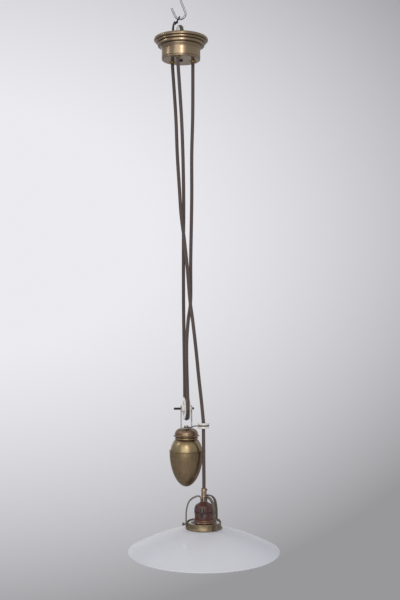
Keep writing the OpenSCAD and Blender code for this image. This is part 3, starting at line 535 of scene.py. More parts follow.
def swept(name, line, radius, sides, reference, taper=None):
    """A round rod along a line, with u in metres along it and v once round it in its UV map."""
    verts, faces, uvs = [], [], []
    n = len(line)
    along = [0.0]
    for a, b in zip(line, line[1:]):
        along.append(along[-1] + (b - a).length * MM)
    side = Vector(reference)
    for i, centre in enumerate(line):
        before, after = line[max(i - 1, 0)], line[min(i + 1, n - 1)]
        t = (after - before).normalized()
        side = (side - t * side.dot(t)).normalized()
        up = t.cross(side)
        size = radius * (taper(i / (n - 1)) if taper else 1)
        for k in range(sides):
            a = math.tau * k / sides
            verts.append((centre + size * (math.cos(a) * side + math.sin(a) * up)) * MM)
    for i in range(n - 1):
        for k in range(sides):
            m = (k + 1) % sides
            faces.append((i * sides + k, i * sides + m, (i + 1) * sides + m, (i + 1) * sides + k))
            v0, v1 = k / sides, (k + 1) / sides
            uvs += [(along[i], v0), (along[i], v1), (along[i + 1], v1), (along[i + 1], v0)]
    for ring, order in ((0, -1), (n - 1, 1)):
        faces.append(tuple(ring * sides + k for k in range(sides))[::order])
        uvs += [(along[ring], 0.0)] * sides
    mesh = bpy.data.meshes.new(name)
    mesh.from_pydata([tuple(v) for v in verts], [], faces)
    layer = mesh.uv_layers.new(name="along")
    for place, uv in enumerate(uvs):
        layer.data[place].uv = uv
    return link_up(name, mesh)


def wheel_point(wheel, across, along, up):
    """A point of a wheel: across its rim, along its axle, and up, from its middle."""
    a = math.radians(wheel["turn"])
    x, y, z = wheel["at"]
    return Vector((x + along * math.cos(a) - across * math.sin(a),
                   y + along * math.sin(a) + across * math.cos(a), z + up))


# ---------------------------------------------------------------- cord

CORD_R = 3.5
CORD_SIDES = 24

# Radius at which the cord's middle runs round a wheel
PITCH_R = 21.0

# The canopy's holes, and the height at which the free strands start, just under the bushes
HOLES = {"lamp": (-17.9, 19.8), "return": (-5.8, -26.1), "fixed": (24.28, 11.11)}
RUN_TOP = -139
FIXED_ROUTE = [(24.3, 11.1, -139), (24, 8, -247), (22, 6, -330), (22, 4, -423), (20, 0, -546),
               (19.8, -4, -628), (15, -6.5, -669), (12, -10, -710), (11.8, -13.5, -750),
               (13, -17.5, -795), (14.5, -20.7, -850.5)]
RETURN_ROUTE = [(-5.8, -26.1, -139), (1, -12, -252), (4, -2, -331), (5.3, 3, -402), (5.5, 5, -453),
                (5, 6, -505), (5, 11, -628), (6, 15, -711), (7.2, 19, -790), (7.5, 20.7, -850.5)]
UPPER_ROUTE = [(-17.9, 19.8, -139), (-11, 11, -247), (-7.6, 4, -330), (-3, -2, -403),
               (0.5, -6, -454), (7, -8, -506), (13.5, -11, -567), (18.5, -14, -628),
               (24, -16, -669), (31, -18, -730), (37, -19, -790), (42, -19.8, -835), (46, -20, -883)]
LOWER_ROUTE = [(46, -20, -883), (46.1, -20, -900), (46.9, -20, -985), (47, -20, -1026)]

# Top of the fixed end, in its clamp
CORD_END = -121.7


def plumb_ends(route, reach=6):
    """The same route with a short upright piece at both ends, so that it runs on into the next."""
    first, last = route[0], route[-1]
    return ([first, (first[0], first[1], first[2] - reach)] + list(route[1:-1])
            + [(last[0], last[1], last[2] + reach), last])


def over_hole(hole, up):
    """A point over one of the canopy's holes, so far above the strands' start."""
    return Vector((*HOLES[hole], RUN_TOP + up))


def wrap(wheel, start, end, steps):
    """The cord's middle round a wheel."""
    return [wheel_point(wheel, PITCH_R * math.cos(a), 0, PITCH_R * math.sin(a))
            for a in turns(start, end, steps)]


def strand(name, line, material, reference=(1, 0, 0)):
    return finish(swept(name, line, CORD_R, CORD_SIDES, reference), material, 60)


def axle_way(wheel):
    a = math.radians(wheel["turn"])
    return math.cos(a), math.sin(a), 0


def running_strand(name, node, route):
    """A free strand, which in use grows longer and shorter between the two bodies that it joins; here it is
    drawn along its route in its node's place and left on no body.
    """
    piece = strand(name, smooth_line(plumb_ends(route), step=5), TEXTILE)
    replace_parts(piece, node)
    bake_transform(piece)


running_strand("fixed_strand", "fixed_cord", FIXED_ROUTE)
running_strand("return_strand", "return_cord", RETURN_ROUTE)
running_strand("lamp_strand_upper", "lamp_cord_upper", UPPER_ROUTE)
running_strand("lamp_strand_lower", "lamp_cord_lower", LOWER_ROUTE)

over = ([over_hole("lamp", up) for up in (0, 4, 9)] + [Vector((-12.6, 20, -113))]
        + [wheel_point(CEILING_WHEEL, PITCH_R, 0, -13)] + wrap(CEILING_WHEEL, 0, 180, 28)
        + [wheel_point(CEILING_WHEEL, -PITCH_R, 0, -13)]
        + [Vector((-0.7, -23, -113))] + [over_hole("return", up) for up in (9, 4, 0)])
# Painted shade: the strand over the ceiling wheel takes the darker copy of the cord finish
canopy_strand = strand("canopy_strand", smooth_line(over, step=3), GREASE_AND_SHADE_TEXTILE, axle_way(CEILING_WHEEL))
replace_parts(canopy_strand, "canopy_cord")
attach(canopy_strand, "canopy")

fixed_line = [over_hole("fixed", (CORD_END - RUN_TOP) * i / 8) for i in range(9)]
fixed_end = strand("fixed_strand_end", fixed_line, TEXTILE)
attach(fixed_end, "canopy")

# Painted shade: the strand round the weight's wheel takes the darker copy of the cord finish
weight_strand = strand("weight_strand", wrap(WEIGHT_WHEEL, 180, 360, 40), GREASE_AND_SHADE_TEXTILE, axle_way(WEIGHT_WHEEL))
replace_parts(weight_strand, "weight_cord")
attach(weight_strand, "counterweight")


# ---------------------------------------------------------------- hook and link


def hook_line():
    """The middle of the hook's rod, from the tip round the bowl to the upright shank."""
    bowl_r, bowl_x, bowl_z = 11.3, -2.0, 51.0
    tip_turn, sweep = 204, 178
    lean, bend_r = 22.0, 10.0

    def bowl_point(a):
        return Vector((bowl_x + bowl_r * math.cos(a), 0, bowl_z + bowl_r * math.sin(a)))

    tip = math.radians(tip_turn)
    line = [bowl_point(tip) + out * Vector((math.sin(tip), 0, -math.cos(tip)))
            for out in (17, 13, 9, 5, 2.5)]
    line += [bowl_point(a) for a in turns(tip_turn, tip_turn + sweep, 36)]
    s, c = math.sin(math.radians(lean)), math.cos(math.radians(lean))
    x0, z0 = bowl_x + bowl_r * c, bowl_z + bowl_r * s
    length = (x0 - bend_r * (1 - c)) / s
    line += [Vector((x0 - s * length * i / 6, 0, z0 + c * length * i / 6)) for i in range(1, 6)]
    bend_z = z0 + c * length + bend_r * s
    line += [Vector((bend_r - bend_r * math.cos(a), 0, bend_z - bend_r * math.sin(a)))
             for a in turns(lean, 0, 6)]
    return under_rim(line + [Vector((0, 0, -RIM))])


# The rod's cut tip is a little narrower than the rod
hook = swept("hook_rod", hook_line(), radius=2.2, sides=32, reference=(0, 1, 0),
             taper=lambda t: 0.72 if t == 0 else 1)
in_place_of("ceiling_hook", "canopy", hook, FINISH["zinc"])


def wound_thread(name, tooth, rounds, pitch, foot):
    """One tooth of a thread, as (radius, height), wound upwards from the height foot."""
    bpy.ops.object.select_all(action="DESELECT")
    bpy.ops.mesh.primitive_circle_add(vertices=len(tooth), radius=MM)
    piece = bpy.context.object
    piece.name = name
    for vertex, (r, z) in zip(piece.data.vertices, tooth):
        vertex.co = (r * MM, 0, z * MM)
    winding = piece.modifiers.new("winding", "SCREW")
    winding.angle = math.tau
    winding.screw_offset = pitch * MM
    winding.iterations = rounds
    winding.steps = winding.render_steps = 20
    winding.use_merge_vertices = True
    winding.merge_threshold = SAME_PLACE
    applied(piece, winding)
    bpy.ops.object.mode_set(mode="EDIT")
    bpy.ops.mesh.select_all(action="DESELECT")
    bpy.ops.mesh.select_mode(type="EDGE")
    bpy.ops.mesh.select_non_manifold()
    bpy.ops.mesh.fill()
    bpy.ops.object.mode_set(mode="OBJECT")
    return settle(outwards(piece), at=(0, 0, foot))


tooth = [(1.9, 0.0), (2.34, 0.7), (2.34, 0.95), (1.9, 1.6)]
thread = wound_thread("hook_thread", tooth, rounds=12, pitch=2.2, foot=1.0)
finish(thread, FINISH["zinc"])
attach(thread, "canopy")


def link_line():
    """A long ring round the hook and the strap's neck, leaning in the strap's plane."""
    low, high = Vector((-11.7, 0, 28.3)), Vector((-3.233, 0, 44.008))
    up = (high - low).normalized()
    half = 5.0
    line = []
    for centre, start in ((low + up * half, 180), (high - up * half, 0)):
        line += [centre + half * (math.cos(a) * Vector((0, 1, 0)) + math.sin(a) * up)
                 for a in turns(start, start + 180, 16)]
    return under_rim(line + line[:1])


link = swept("link_ring", link_line(), radius=1.3, sides=20, reference=(1, 0, 0))
settle(link, tilt=(0, 0, CEILING_WHEEL["turn"]))
in_place_of("hanging_link", "canopy", link, FINISH["black_iron"], 60)


# ---------------------------------------------------------------- canopy

# From the middle of the floor up the body and over the rim's three mouldings
canopy_outside = [
    (2.6, -45), (20, -45), (34, -45), (37.4, -45), (38.5, -44.8), (39.2, -44.3), (39.5, -43.6),
    (39.5, -42.6), (39.3, -42.1), (38.9, -41.8), (38.9, -41.4), (39.3, -41.1), (39.6, -40.7),
    (39.7, -39.8), (39.6, -38), (39.6, -31), (39.6, -26.2), (39.65, -25.0), (39.9, -24.1),
    (40.3, -23.2), (40.8, -22.0), (41.4, -20.6), (41.9, -19.4), (42.2, -18.6), (42.3, -18.0),
    (42.2, -17.5), (42.4, -17.2), (44.5, -17.1), (46.8, -16.9), (47.5, -16.6), (47.8, -16.0),
    (47.9, -15.0), (47.95, -13.8), (47.9, -12.6), (47.7, -11.6), (47.4, -11.0), (47.6, -10.7),
    (49.5, -10.4), (50.8, -10.1), (51.3, -9.7), (51.5, -9.0), (51.55, -8.2), (51.5, -7.4),
    (51.3, -6.8), (51.2, -6.4), (51.5, -6.2), (53.2, -6.0), (54.6, -5.7), (55.2, -5.2), (55.4, -4.4),
    (55.4, -3.6), (55.2, -2.8), (54.9, -1.9), (54.5, -1.1), (54.0, -0.5), (53.5, -0.1), (53.0, 0),
]
canopy_inside = [
    (52.6, -0.2), (52.2, -1.2), (52.0, -4.0), (50.2, -5.4), (50.0, -8.8), (46.4, -9.9), (46.2, -15.6),
    (41.2, -16.4), (40.9, -18.6), (38.8, -22.8), (38.7, -26), (38.7, -33), (38.6, -39.6), (37.6, -41.8),
    (36.4, -43.6), (34, -44.1), (20, -44.1), (2.6, -44.1),
]
canopy = turned("canopy_shell", shifted(canopy_outside + canopy_inside), sides=160)


def drilled(piece, x, y, radius, bottom, top):
    """Cuts an upright round hole through a piece."""
    bpy.ops.object.select_all(action="DESELECT")
    bpy.ops.mesh.primitive_cylinder_add(vertices=48, radius=radius * MM, depth=(top - bottom) * MM,
                                        location=(x * MM, y * MM, (top + bottom) / 2 * MM))
    drill = bpy.context.object
    hole = piece.modifiers.new("hole", "BOOLEAN")
    hole.object = drill
    hole.solver = "EXACT"
    applied(piece, hole)
    bpy.data.objects.remove(drill)


for hx, hy in HOLES.values():
    drilled(canopy, hx, hy, radius=5.1, bottom=-140, top=-134)
in_place_of("canopy_cup", "canopy", canopy, FINISH["canopy_brass"], 30)

bush_profile = [(3.8, -138.2), (4.2, -138.5), (6.1, -138.5), (6.5, -138.1), (6.5, -137.1),
                (5.3, -137.0), (5.2, -134.8), (4.9, -134.6), (4.0, -134.6), (3.8, -134.9)]
bushes = [settle(turned("bush", bush_profile, sides=48), at=(hx, hy, 0)) for hx, hy in HOLES.values()]
only(bushes[0])
for bush in bushes:
    bush.select_set(True)
bpy.ops.object.join()
bushes[0].name = "cord_bush_set"
in_place_of("cord_bushes", "canopy", bushes[0], FINISH["bush_brass"])


# ---------------------------------------------------------------- porcelain wheels


def wheel_profile(hub):
    """A wheel's section: bore, hub, recessed web, rim and cord groove, and the same mirrored."""
    side = [(2.36, hub - 0.5), (2.8, hub), (6.4, hub), (7.2, hub - 0.6), (7.6, 4.4), (8.6, 3.6),
            (10.4, 3.3), (12.2, 3.6), (13.4, 4.8), (14.2, 5.5), (15.2, 5.7), (21.6, 5.7), (22.4, 5.55),
            (23.0, 5.2), (23.2, 4.8), (23.0, 4.4), (22.3, 3.9), (21.5, 3.62)]
    groove_r = 3.56
    half = side + arc(PITCH_R, 0, groove_r, 80, 180, 9)[:-1]
    return half + [(PITCH_R - groove_r, 0)] + mirrored(half)


def porcelain_wheel(name, node, body, wheel, hub):
    """A cord wheel, turned upright and laid on its axle; its hub stands so far to each side."""
    piece = turned(name, wheel_profile(hub), sides=128)
    settle(piece, tilt=(0, 90, 0))
    settle(piece, at=wheel["at"], tilt=(0, 0, wheel["turn"]))
    in_place_of(node, body, piece, FINISH["glazed_porcelain"], 50)


porcelain_wheel("upper_wheel", "ceiling_wheel", "ceiling wheel", CEILING_WHEEL, 6.5)
porcelain_wheel("lower_wheel", "weight_wheel", "weight wheel", WEIGHT_WHEEL, 9.8)


# ---------------------------------------------------------------- counterweight

# Heights from the rim of the cap's top, the neck's shoulder and the seam between the shells
CAP_TOP, NECK, SEAM = -798.8, -814.8, -844.0

# Thickness of the lower shell
SHELL = 1.3

cap_outside = ([(2.7, 0), (8, 0), (10.2, 0)] + oval_arc(10.5, -11.6, 13.3, 11.6, 84, 0, 12)
               + [(23.9, -12.7), (24.2, -13.4), (24.8, -14.0), (25.6, -14.4), (26.4, -14.7),
                  (26.8, -15.0), (26.8, -15.4), (26.4, -15.8), (25.6, -16.0)])
cap_inside = ([(24.4, -15.7), (23.4, -14.6), (22.7, -13.2), (22.5, -11.4)]
              + oval_arc(10.5, -11, 12, 9.7, 7, 88, 9) + [(10, -1.3), (2.7, -1.3)])
cap = turned("bell_cap", shifted(cap_outside + cap_inside, CAP_TOP + RIM), sides=128)
settle(cap, at=(*WEIGHT_AT, 0))
in_place_of("weight_cap", "counterweight", cap, FINISH["cap_brass"])

# Up the spigot under the cap, round the neck's bead and down the shoulder to the seam
dome_outside = ([(2.7, -800.1), (9.9, -800.1), (10.3, -800.5), (10.3, NECK), (20.6, NECK),
                 (21.4, NECK - 0.3), (21.5, -815.4), (21.7, -816.6)]
                + arc(21.6, -818.9, 2.3, 72, -72, 9)
                + [(22.6, -821.1), (23.0, -821.6), (23.9, -822.3), (25.2, -823.8), (26.7, -825.9),
                   (28.2, -828.4), (29.5, -831.0), (30.6, -833.8), (31.5, -836.6), (32.2, -839.3),
                   (32.7, -841.8), (33.0, SEAM)])
dome_inside = [(33.1, -848.3), (31.9, -848.3), (31.9, SEAM), (29.6, -835), (25.6, -827.6),
               (22.4, -824.0), (20.2, -823.2), (20.2, -816.2), (9.0, -816.2), (9.0, -801.4), (2.7, -801.4)]
dome = turned("upper_shell", shifted(dome_outside + dome_inside), sides=144)
settle(dome, at=(*WEIGHT_AT, 0))
in_place_of("weight_dome", "counterweight", dome, FINISH["dome_brass"])

# The egg's radius at the seam, and its height from there to its tip
EGG_R, EGG_H = 34.5, 72.2


def egg_side(inset, start, stop, step):
    """Points down the egg's side, so far under its outer face; the power draws its end to a point."""
    made = []
    for angle in range(start, stop, step):
        a = math.radians(angle)
        made.append(((EGG_R - inset) * math.cos(a) ** 1.04, SEAM - 2 - (EGG_H - inset) * math.sin(a)))
    return made


egg_outside = ([(33.3, SEAM + 0.1), (34.0, SEAM + 0.1)] + arc(34.3, SEAM - 0.6, 0.8, 75, -65, 8)
               + [(EGG_R, SEAM - 1.6), (34.4, SEAM - 2.2)] + arc(34.15, SEAM - 2.8, 0.5, 40, -50, 4)
               + egg_side(0, 5, 89, 3) + [(0.3, SEAM - 74.2)])
egg_inside = [(0.3, SEAM - 72.9)] + egg_side(SHELL, 88, 3, -6) + [(33.2, SEAM - 2)]
egg = turned("lower_shell", shifted(egg_outside + egg_inside), sides=144)
settle(egg, at=(*WEIGHT_AT, 0))
in_place_of("weight_egg", "counterweight", egg, FINISH["egg_bronze"])

EYE_HEIGHT = -882.8
eye_side = [(4.6, 4.2), (4.75, 4.9), (5.3, 5.4), (6.2, 5.5), (10.6, 5.5), (11.5, 5.1), (12.0, 4.2),
            (12.0, 3.3), (11.7, 2.7), (11.0, 2.2), (10.4, 1.5), (10.05, 0.7)]
eye = turned("eye_ring", eye_side + [(10.0, 0)] + mirrored(eye_side), sides=96)
settle(eye, at=(*GUIDE_AT, EYE_HEIGHT))
in_place_of("guide_eye", "counterweight", eye, FINISH["glazed_porcelain"], 50)

guide_way = Vector(GUIDE_AT) - Vector(WEIGHT_AT)


def guide_line():
    """The bent wire: round the tie rod, out over the cap's shoulder and round the porcelain ring.
    It is drawn along +X from the tie rod's middle, with heights over the cap's top."""
    rod_r, rod_up, eye_r, eye_up = 3.6, 2.4, 10.95, 8.0
    line = [Vector((rod_r * math.cos(a), rod_r * math.sin(a), rod_up)) for a in turns(250, -86, 28)]
    line += [Vector(p) for p in ((4, -4.2, 2.6), (10, -5.6, 2.9), (15, -7, 3.6), (20, -8.4, 5),
                                 (24, -9.6, 7))]
    line += [Vector((guide_way.length + eye_r * math.cos(a), eye_r * math.sin(a), eye_up))
             for a in turns(252, 540, 32)]
    return line


# The wire's end is hammered a little wider
guide = swept("guide_wire", smooth_line(guide_line(), step=1.2), radius=1.15, sides=16,
              reference=(0, 0, 1), taper=lambda t: 1.4 if t > 0.985 else 1)
settle(guide, at=(*WEIGHT_AT, CAP_TOP + RIM),
       tilt=(0, 0, math.degrees(math.atan2(guide_way.y, guide_way.x))))
in_place_of("guide_arm", "counterweight", guide, FINISH["arm_metal"], 60)


# ---------------------------------------------------------------- gallery


def on_lamp(piece, node, material, smooth=35):
    """Moves a piece from the middle to the lamp's line, finishes it and puts it in its node's place."""
    settle(piece, at=(*LAMP_AT, 0))
    in_place_of(node, "lamp", piece, material, smooth)


# The arms' thickness and width, and how far out their middle is at the ring and at the tube
ARM_T, ARM_W = 2.6, 6.0
ARM_OUT = 35 + ARM_T / 2
ARM_IN = 4.55 + ARM_T / 2
GALLERY_TOP, TUBE_TOP = -985.0, -935.3


def arm_at(inward, up):
    """A point of an arm's middle line: its shares of the way in and of the way up to the tube's top."""
    return (ARM_OUT + (ARM_IN - ARM_OUT) * inward, GALLERY_TOP + (TUBE_TOP - GALLERY_TOP) * up)


arm_course = ([(ARM_OUT, -995.4), (ARM_OUT, GALLERY_TOP - 1)]
              + [arm_at(*share) for share in (
                  (0, 0.2), (0.01, 0.38), (0.05, 0.56), (0.135, 0.745), (0.24, 0.85), (0.36, 0.922),
                  (0.48, 0.97), (0.6, 1.003), (0.73, 1.028), (0.83, 1.036), (0.9, 1.022), (0.95, 0.984),
                  (0.986, 0.934))]
              + [(ARM_IN, TUBE_TOP - 5.7), (ARM_IN, TUBE_TOP - 9.6)])


def gallery_arm(name, node, turn):
    """A flat strip bent over the holder: a ribbon along its course, thickened and eased."""
    course = smooth_line([(r, z, 0) for r, z in arm_course], step=1.6)
    ribbon = bpy.data.curves.new(name, "CURVE")
    ribbon.dimensions = "2D"
    ribbon.extrude = ARM_W / 2 * MM
    spline = ribbon.splines.new("POLY")
    spline.points.add(len(course) - 1)
    for point, place in zip(spline.points, course):
        point.co = (place.x * MM, (place.y + RIM) * MM, 0, 1)
    only(link_up(name, ribbon))
    bpy.ops.object.convert(target="MESH")
    piece = bpy.context.object
    thick = piece.modifiers.new("thick", "SOLIDIFY")
    thick.thickness = (ARM_T - 0.05) * MM
    thick.offset = 0
    thick.use_even_offset = True
    outwards(applied(piece, thick))
    settle(piece, tilt=(90, 0, 0))
    bevelled(piece, width=0.45, segments=3, angle=50)
    settle(piece, tilt=(0, 0, turn))
    on_lamp(piece, node, FINISH["arm_metal"])


for side, turn in ARM_TURNS.items():
    gallery_arm("arm_" + side, "gallery_arm_" + side, turn)

ring_profile = ([(33.8, -997), (33.8, -985.6)] + arc(34.4, -985.6, 0.6, 180, 0, 6)
                + [(35.0, -987), (35.0, -994.4), (35.4, -995.4), (36.2, -996.0), (36.9, -996.4)]
                + arc(36.6, -997.2, 0.8, 60, -100, 7) + [(35.2, -997.6), (34.2, -997.4)])
on_lamp(turned("gallery_band", shifted(ring_profile), sides=144), "gallery_ring", FINISH["gallery_brass"])

SCREW_HEIGHT = -989.8


def thumbscrew(name, node, body, turn):
    """A turned pin with a knurled head: every second row of its rim is drawn in."""
    profile = [(0.2, 29.3), (1.2, 29.3), (1.5, 29.7), (1.5, 39.8), (2.4, 39.8), (2.9, 40.2),
               (3.2, 40.8), (3.2, 43.4), (2.9, 44.0), (2.2, 44.2), (0.2, 44.2)]
    rows, rim_from, drawn_in = 36, 2.8, 0.93
    piece = turned(name, profile, rows)
    bpy.ops.object.mode_set(mode="EDIT")
    bpy.ops.mesh.select_all(action="DESELECT")
    bpy.ops.object.mode_set(mode="OBJECT")
    for vertex in piece.data.vertices:
        row = round(math.atan2(vertex.co.y, vertex.co.x) / math.tau * rows)
        vertex.select = math.hypot(vertex.co.x, vertex.co.y) > rim_from * MM and row % 2 == 0
    bpy.ops.object.mode_set(mode="EDIT")
    bpy.ops.transform.resize(value=(drawn_in, drawn_in, 1), center_override=(0, 0, 0))
    bpy.ops.object.mode_set(mode="OBJECT")
    settle(piece, tilt=(0, 90, 0))
    settle(piece, at=(*LAMP_AT, SCREW_HEIGHT + RIM), tilt=(0, 0, turn))
    in_place_of(node, body, piece, FINISH["arm_metal"])


for side, turn in ARM_TURNS.items():
    thumbscrew("screw_" + side, "thumbscrew_" + side, "thumbscrew " + side, turn)


# ---------------------------------------------------------------- lampholder

HOLDER_SIDES = 112

cap_profile = [(4.6, -944.6), (5.4, -944.5), (6.4, -944.8), (8.8, -946.4), (12.4, -948.8),
               (15.6, -950.8), (16.7, -951.6), (17.3, -952.4), (17.6, -953.4), (17.6, -963.2),
               (17.4, -964.4), (17.0, -964.9), (14.9, -964.9), (14.9, -955.0), (8.0, -950.4), (4.6, -950.4)]
body_profile = [(16.4, -965.1), (18.1, -965.1), (18.7, -965.3), (18.9, -965.9), (18.9, -967.4),
                (18.6, -967.8), (18.6, -968.4), (18.8, -968.8), (18.8, -979.4), (18.6, -980.2),
                (18.6, -1002.4), (18.2, -1003), (16.6, -1003), (16.4, -1002.6)]
collar_profile = [(19.05, -980.0), (19.9, -979.9), (20.6, -980.3), (20.8, -981.0), (20.6, -981.7),
                  (20.3, -982.2), (20.3, -984.2), (20.9, -984.8), (21.2, -985.4), (20.9, -986.0),
                  (20.2, -986.2), (19.05, -986.2)]
for name, profile, node, material in (
    ("holder_dome", cap_profile, "holder_cap", "brown_bakelite"),
    ("holder_skirt", body_profile, "holder_body", "brown_bakelite"),
    ("holder_collar", collar_profile, "holder_ring", "collar_copper"),
):
    on_lamp(turned(name, shifted(profile), HOLDER_SIDES), node, FINISH[material])

OVAL_HEIGHT = -965.0


def tall_oval(turn):
    """A raised oval on the holder's side: a ball squeezed to shape and cut flat at the back."""
    deep, wide, tall = 3.2, 4.3, 12
    out, back = 16.9, 16.6
    bpy.ops.object.select_all(action="DESELECT")
    bpy.ops.mesh.primitive_uv_sphere_add(segments=48, ring_count=32, radius=MM)
    piece = bpy.context.object
    bpy.ops.object.mode_set(mode="EDIT")
    bpy.ops.mesh.select_all(action="SELECT")
    bpy.ops.transform.resize(value=(deep, wide, tall))
    bpy.ops.transform.translate(value=(out * MM, 0, (OVAL_HEIGHT + RIM) * MM))
    bpy.ops.mesh.bisect(plane_co=(back * MM, 0, 0), plane_no=(1, 0, 0), clear_inner=True, use_fill=True)
    bpy.ops.object.mode_set(mode="OBJECT")
    return settle(outwards(piece), at=(*LAMP_AT, 0), tilt=(0, 0, turn))


for number, turn in enumerate(OVAL_TURNS, 1):
    oval = tall_oval(turn)
    oval.name = f"holder_oval_{number}"
    finish(oval, FINISH["dark_oval"], 60)
    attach(oval, "lamp")

grip_profile = [(3.65, -935.2), (5.4, -935.2), (5.75, -934.9), (5.75, -934.1), (5.5, -933.7),
                (5.4, -933), (5.45, -926), (5.6, -919.2), (5.3, -918.2), (4.6, -917.9), (3.65, -918.1)]
on_lamp(turned("grip_sleeve", shifted(grip_profile), sides=64), "cord_grip", FINISH["grip_brass"])


# ---------------------------------------------------------------- shade

GLASS_T = 3.4
SLOPE_STEPS = 26


def slope(share, drop):
    """A point on the shade's slope at a share of its length, so far under the outer face."""
    sag = 0.1 * math.sin(math.pi * share)
    return (35.7 + 115.4 * share, -998.4 - 44 * (share - sag) - drop)


shade_outside = ([(29.0, -998.0), (29.3, -998.5), (32, -998.4)]
                 + [slope(i / SLOPE_STEPS, 0) for i in range(SLOPE_STEPS + 1)]
                 + arc(151.9, -1044.4, 1.6, 60, -108, 8))
shade_inside = ([slope(i / SLOPE_STEPS, GLASS_T) for i in range(SLOPE_STEPS, -1, -1)]
                + [(30, -1001.8), (26.6, -1001.2), (25.8, -999.8)])
shade_neck = [(25.8, -989.4), (25.8, -988.2), (26.4, -987.4), (31.6, -987.3), (32.1, -987.6),
              (31.9, -988.0), (31.2, -988.2), (29.4, -988.5), (29.0, -989.2), (29.0, -995)]
shade = turned("opal_shade", shifted(shade_outside + shade_inside + shade_neck), sides=192)
on_lamp(shade, "shade", OPAL, 50)


# ---------------------------------------------------------------- finishes of the pieces kept as they are


def dress(node, material, edge=0.0):
    """Gives a solid its finish, and eases its sharp edges by so many millimetres."""
    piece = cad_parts[node]
    piece.data.materials.clear()
    piece.data.materials.append(FINISH[material])
    if edge:
        joined = piece.modifiers.new("joined", "WELD")
        joined.merge_threshold = SAME_PLACE
        eased = piece.modifiers.new("eased", "BEVEL")
        eased.width = edge * MM
        eased.segments = 2
        eased.limit_method = "ANGLE"
        eased.angle_limit = math.radians(40)


for node, material, edge in (
    ("hanging_strap", "black_iron", 0.35),
    ("canopy_screw", "black_iron", 0.12),
    ("canopy_nut", "fork_steel", 0.2),
    ("ceiling_axle", "fork_steel", 0.2),
    ("cord_clamp", "grip_brass", 0.3),
    ("clamp_screw", "fork_steel", 0.0),
    ("terminal_block", "glazed_porcelain", 0.5),
    ("terminal_screws", "grip_brass", 0.0),
    ("cord_cores", "core_rubber", 0.0),
    ("weight_axle", "black_iron", 0.0),
    ("weight_fork", "fork_steel", 0.25),
    ("weight_nut", "fork_steel", 0.3),
    ("tie_rod", "fork_steel", 0.0),
    ("ballast", "cast_iron", 0.0),
    ("grip_screw", "black_iron", 0.0),
    ("threaded_tube", "grip_brass", 0.0),
    ("tube_nut", "grip_brass", 0.0),
    ("socket_insert", "glazed_porcelain", 0.3),
    ("bulb_shell", "grip_brass", 0.0),
    ("centre_contact", "grip_brass", 0.0),
    ("socket_terminals", "grip_brass", 0.0),
):
    dress(node, material, edge)


# ---------------------------------------------------------------- floor, backdrop and light

# The floor lies this far under the lamp at rest, in metres, which leaves the lamp room to be pulled down
FLOOR_DROP = 1.22


def pale_floor():
    bpy.ops.object.select_all(action="DESELECT")
    bpy.ops.mesh.primitive_plane_add(size=4.6, location=(0, 0, cad_box[0].z - FLOOR_DROP))
    floor = bpy.context.object
    floor.name = "studio_floor"
    made, _, _, shader = new_material("studio_grey")
    set_sockets(shader, {"Base Color": (0.60, 0.60, 0.635, 1), "Roughness": 0.9})
    floor.data.materials.append(made)


def backdrop_level(nodes, links, way):
    """How light the backdrop is along a way: lit from the left, darker to the right and down,
    and plain away from the front, so that metal mirrors a quiet room."""
    aside = maths(nodes, links, "ADD", way["X"], 0.10)
    raised = maths(nodes, links, "SUBTRACT", way["Z"], 0.05)
    level = maths(nodes, links, "MULTIPLY_ADD", aside, -1.6, -0.45)
    level = maths(nodes, links, "MULTIPLY_ADD", level, aside, 0.87)
    fall = maths(nodes, links, "MULTIPLY_ADD", raised, -3.3, 0.25)
    level = maths(nodes, links, "MULTIPLY_ADD", fall, raised, level)
    level = maths(nodes, links, "MINIMUM", maths(nodes, links, "MAXIMUM", level, 0.32), 0.85)
    ahead = ranged(nodes, links, way["Y"], (0.0, 1.0), within=(0.6, 0.9), smooth=True)
    room = ranged(nodes, links, way["Z"], (0.38, 0.56), within=(0.05, 0.45))
    level = maths(nodes, links, "SUBTRACT", level, room)
    return maths(nodes, links, "MULTIPLY_ADD", level, ahead, room)


def background(nodes, colour, strength):
    node = nodes.new("ShaderNodeBackground")
    node.inputs["Color"].default_value = colour
    node.inputs["Strength"].default_value = strength
    return node


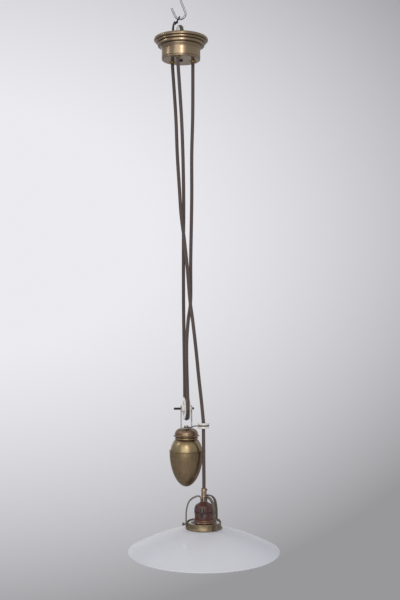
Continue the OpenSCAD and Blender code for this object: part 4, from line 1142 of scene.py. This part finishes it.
def studio_world():
    """Even light from all round, with a backdrop that only the camera, metal and glass see."""
    world = bpy.data.worlds.new("studio")
    bpy.context.scene.world = world
    world.use_nodes = True
    nodes, links = world.node_tree.nodes, world.node_tree.links
    nodes.clear()
    ambient = background(nodes, (0.62, 0.63, 0.66, 1), 0.95)
    shown = background(nodes, (0, 0, 0, 1), 1.0)
    way = separated(nodes, links, nodes.new("ShaderNodeTexCoord").outputs["Generated"])
    level = backdrop_level(nodes, links, way)
    links.new(mixed(nodes, links, level, (0, 0, 0), (0.985, 0.978, 1.02)), shown.inputs["Color"])
    paths = nodes.new("ShaderNodeLightPath").outputs
    seen = maths(nodes, links, "MAXIMUM", paths["Is Camera Ray"], paths["Is Glossy Ray"])
    seen = maths(nodes, links, "MAXIMUM", seen, paths["Is Transmission Ray"])
    choose = nodes.new("ShaderNodeMixShader")
    links.new(seen, choose.inputs["Fac"])
    links.new(ambient.outputs[0], choose.inputs[1])
    links.new(shown.outputs[0], choose.inputs[2])
    ending = nodes.new("ShaderNodeOutputWorld")
    links.new(choose.outputs[0], ending.inputs["Surface"])


def softbox(name, place, size, watts, colour=(1, 1, 1), target=(0.02, 0, -0.6)):
    """A soft rectangular lamp that shines on a target and isn't seen itself; all in metres."""
    light = bpy.data.lights.new(name, "AREA")
    light.shape = "RECTANGLE"
    light.size, light.size_y = size
    light.energy = watts
    light.color = colour
    holder = link_up(name, light)
    holder.visible_camera = False
    holder.location = place
    holder.rotation_euler = (Vector(target) - Vector(place)).to_track_quat("-Z", "Y").to_euler()


pale_floor()
studio_world()
softbox("front_window", (-0.35, -2.5, -0.2), (2.6, 2.6), 26, (1, 0.985, 0.96))
softbox("front_core", (0.20, -2.4, 0.55), (0.24, 0.9), 7.5, (1, 0.975, 0.94))
softbox("side_window", (-2.17, -0.30, 0.85), (0.26, 0.6), 3.8, (1, 0.985, 0.96))
softbox("high_strip", (-0.36, 1.2, 0.42), (0.03, 0.2), 0.06, target=(0.03, -0.02, -1.1))
bpy.context.scene.view_settings.view_transform = "Standard"
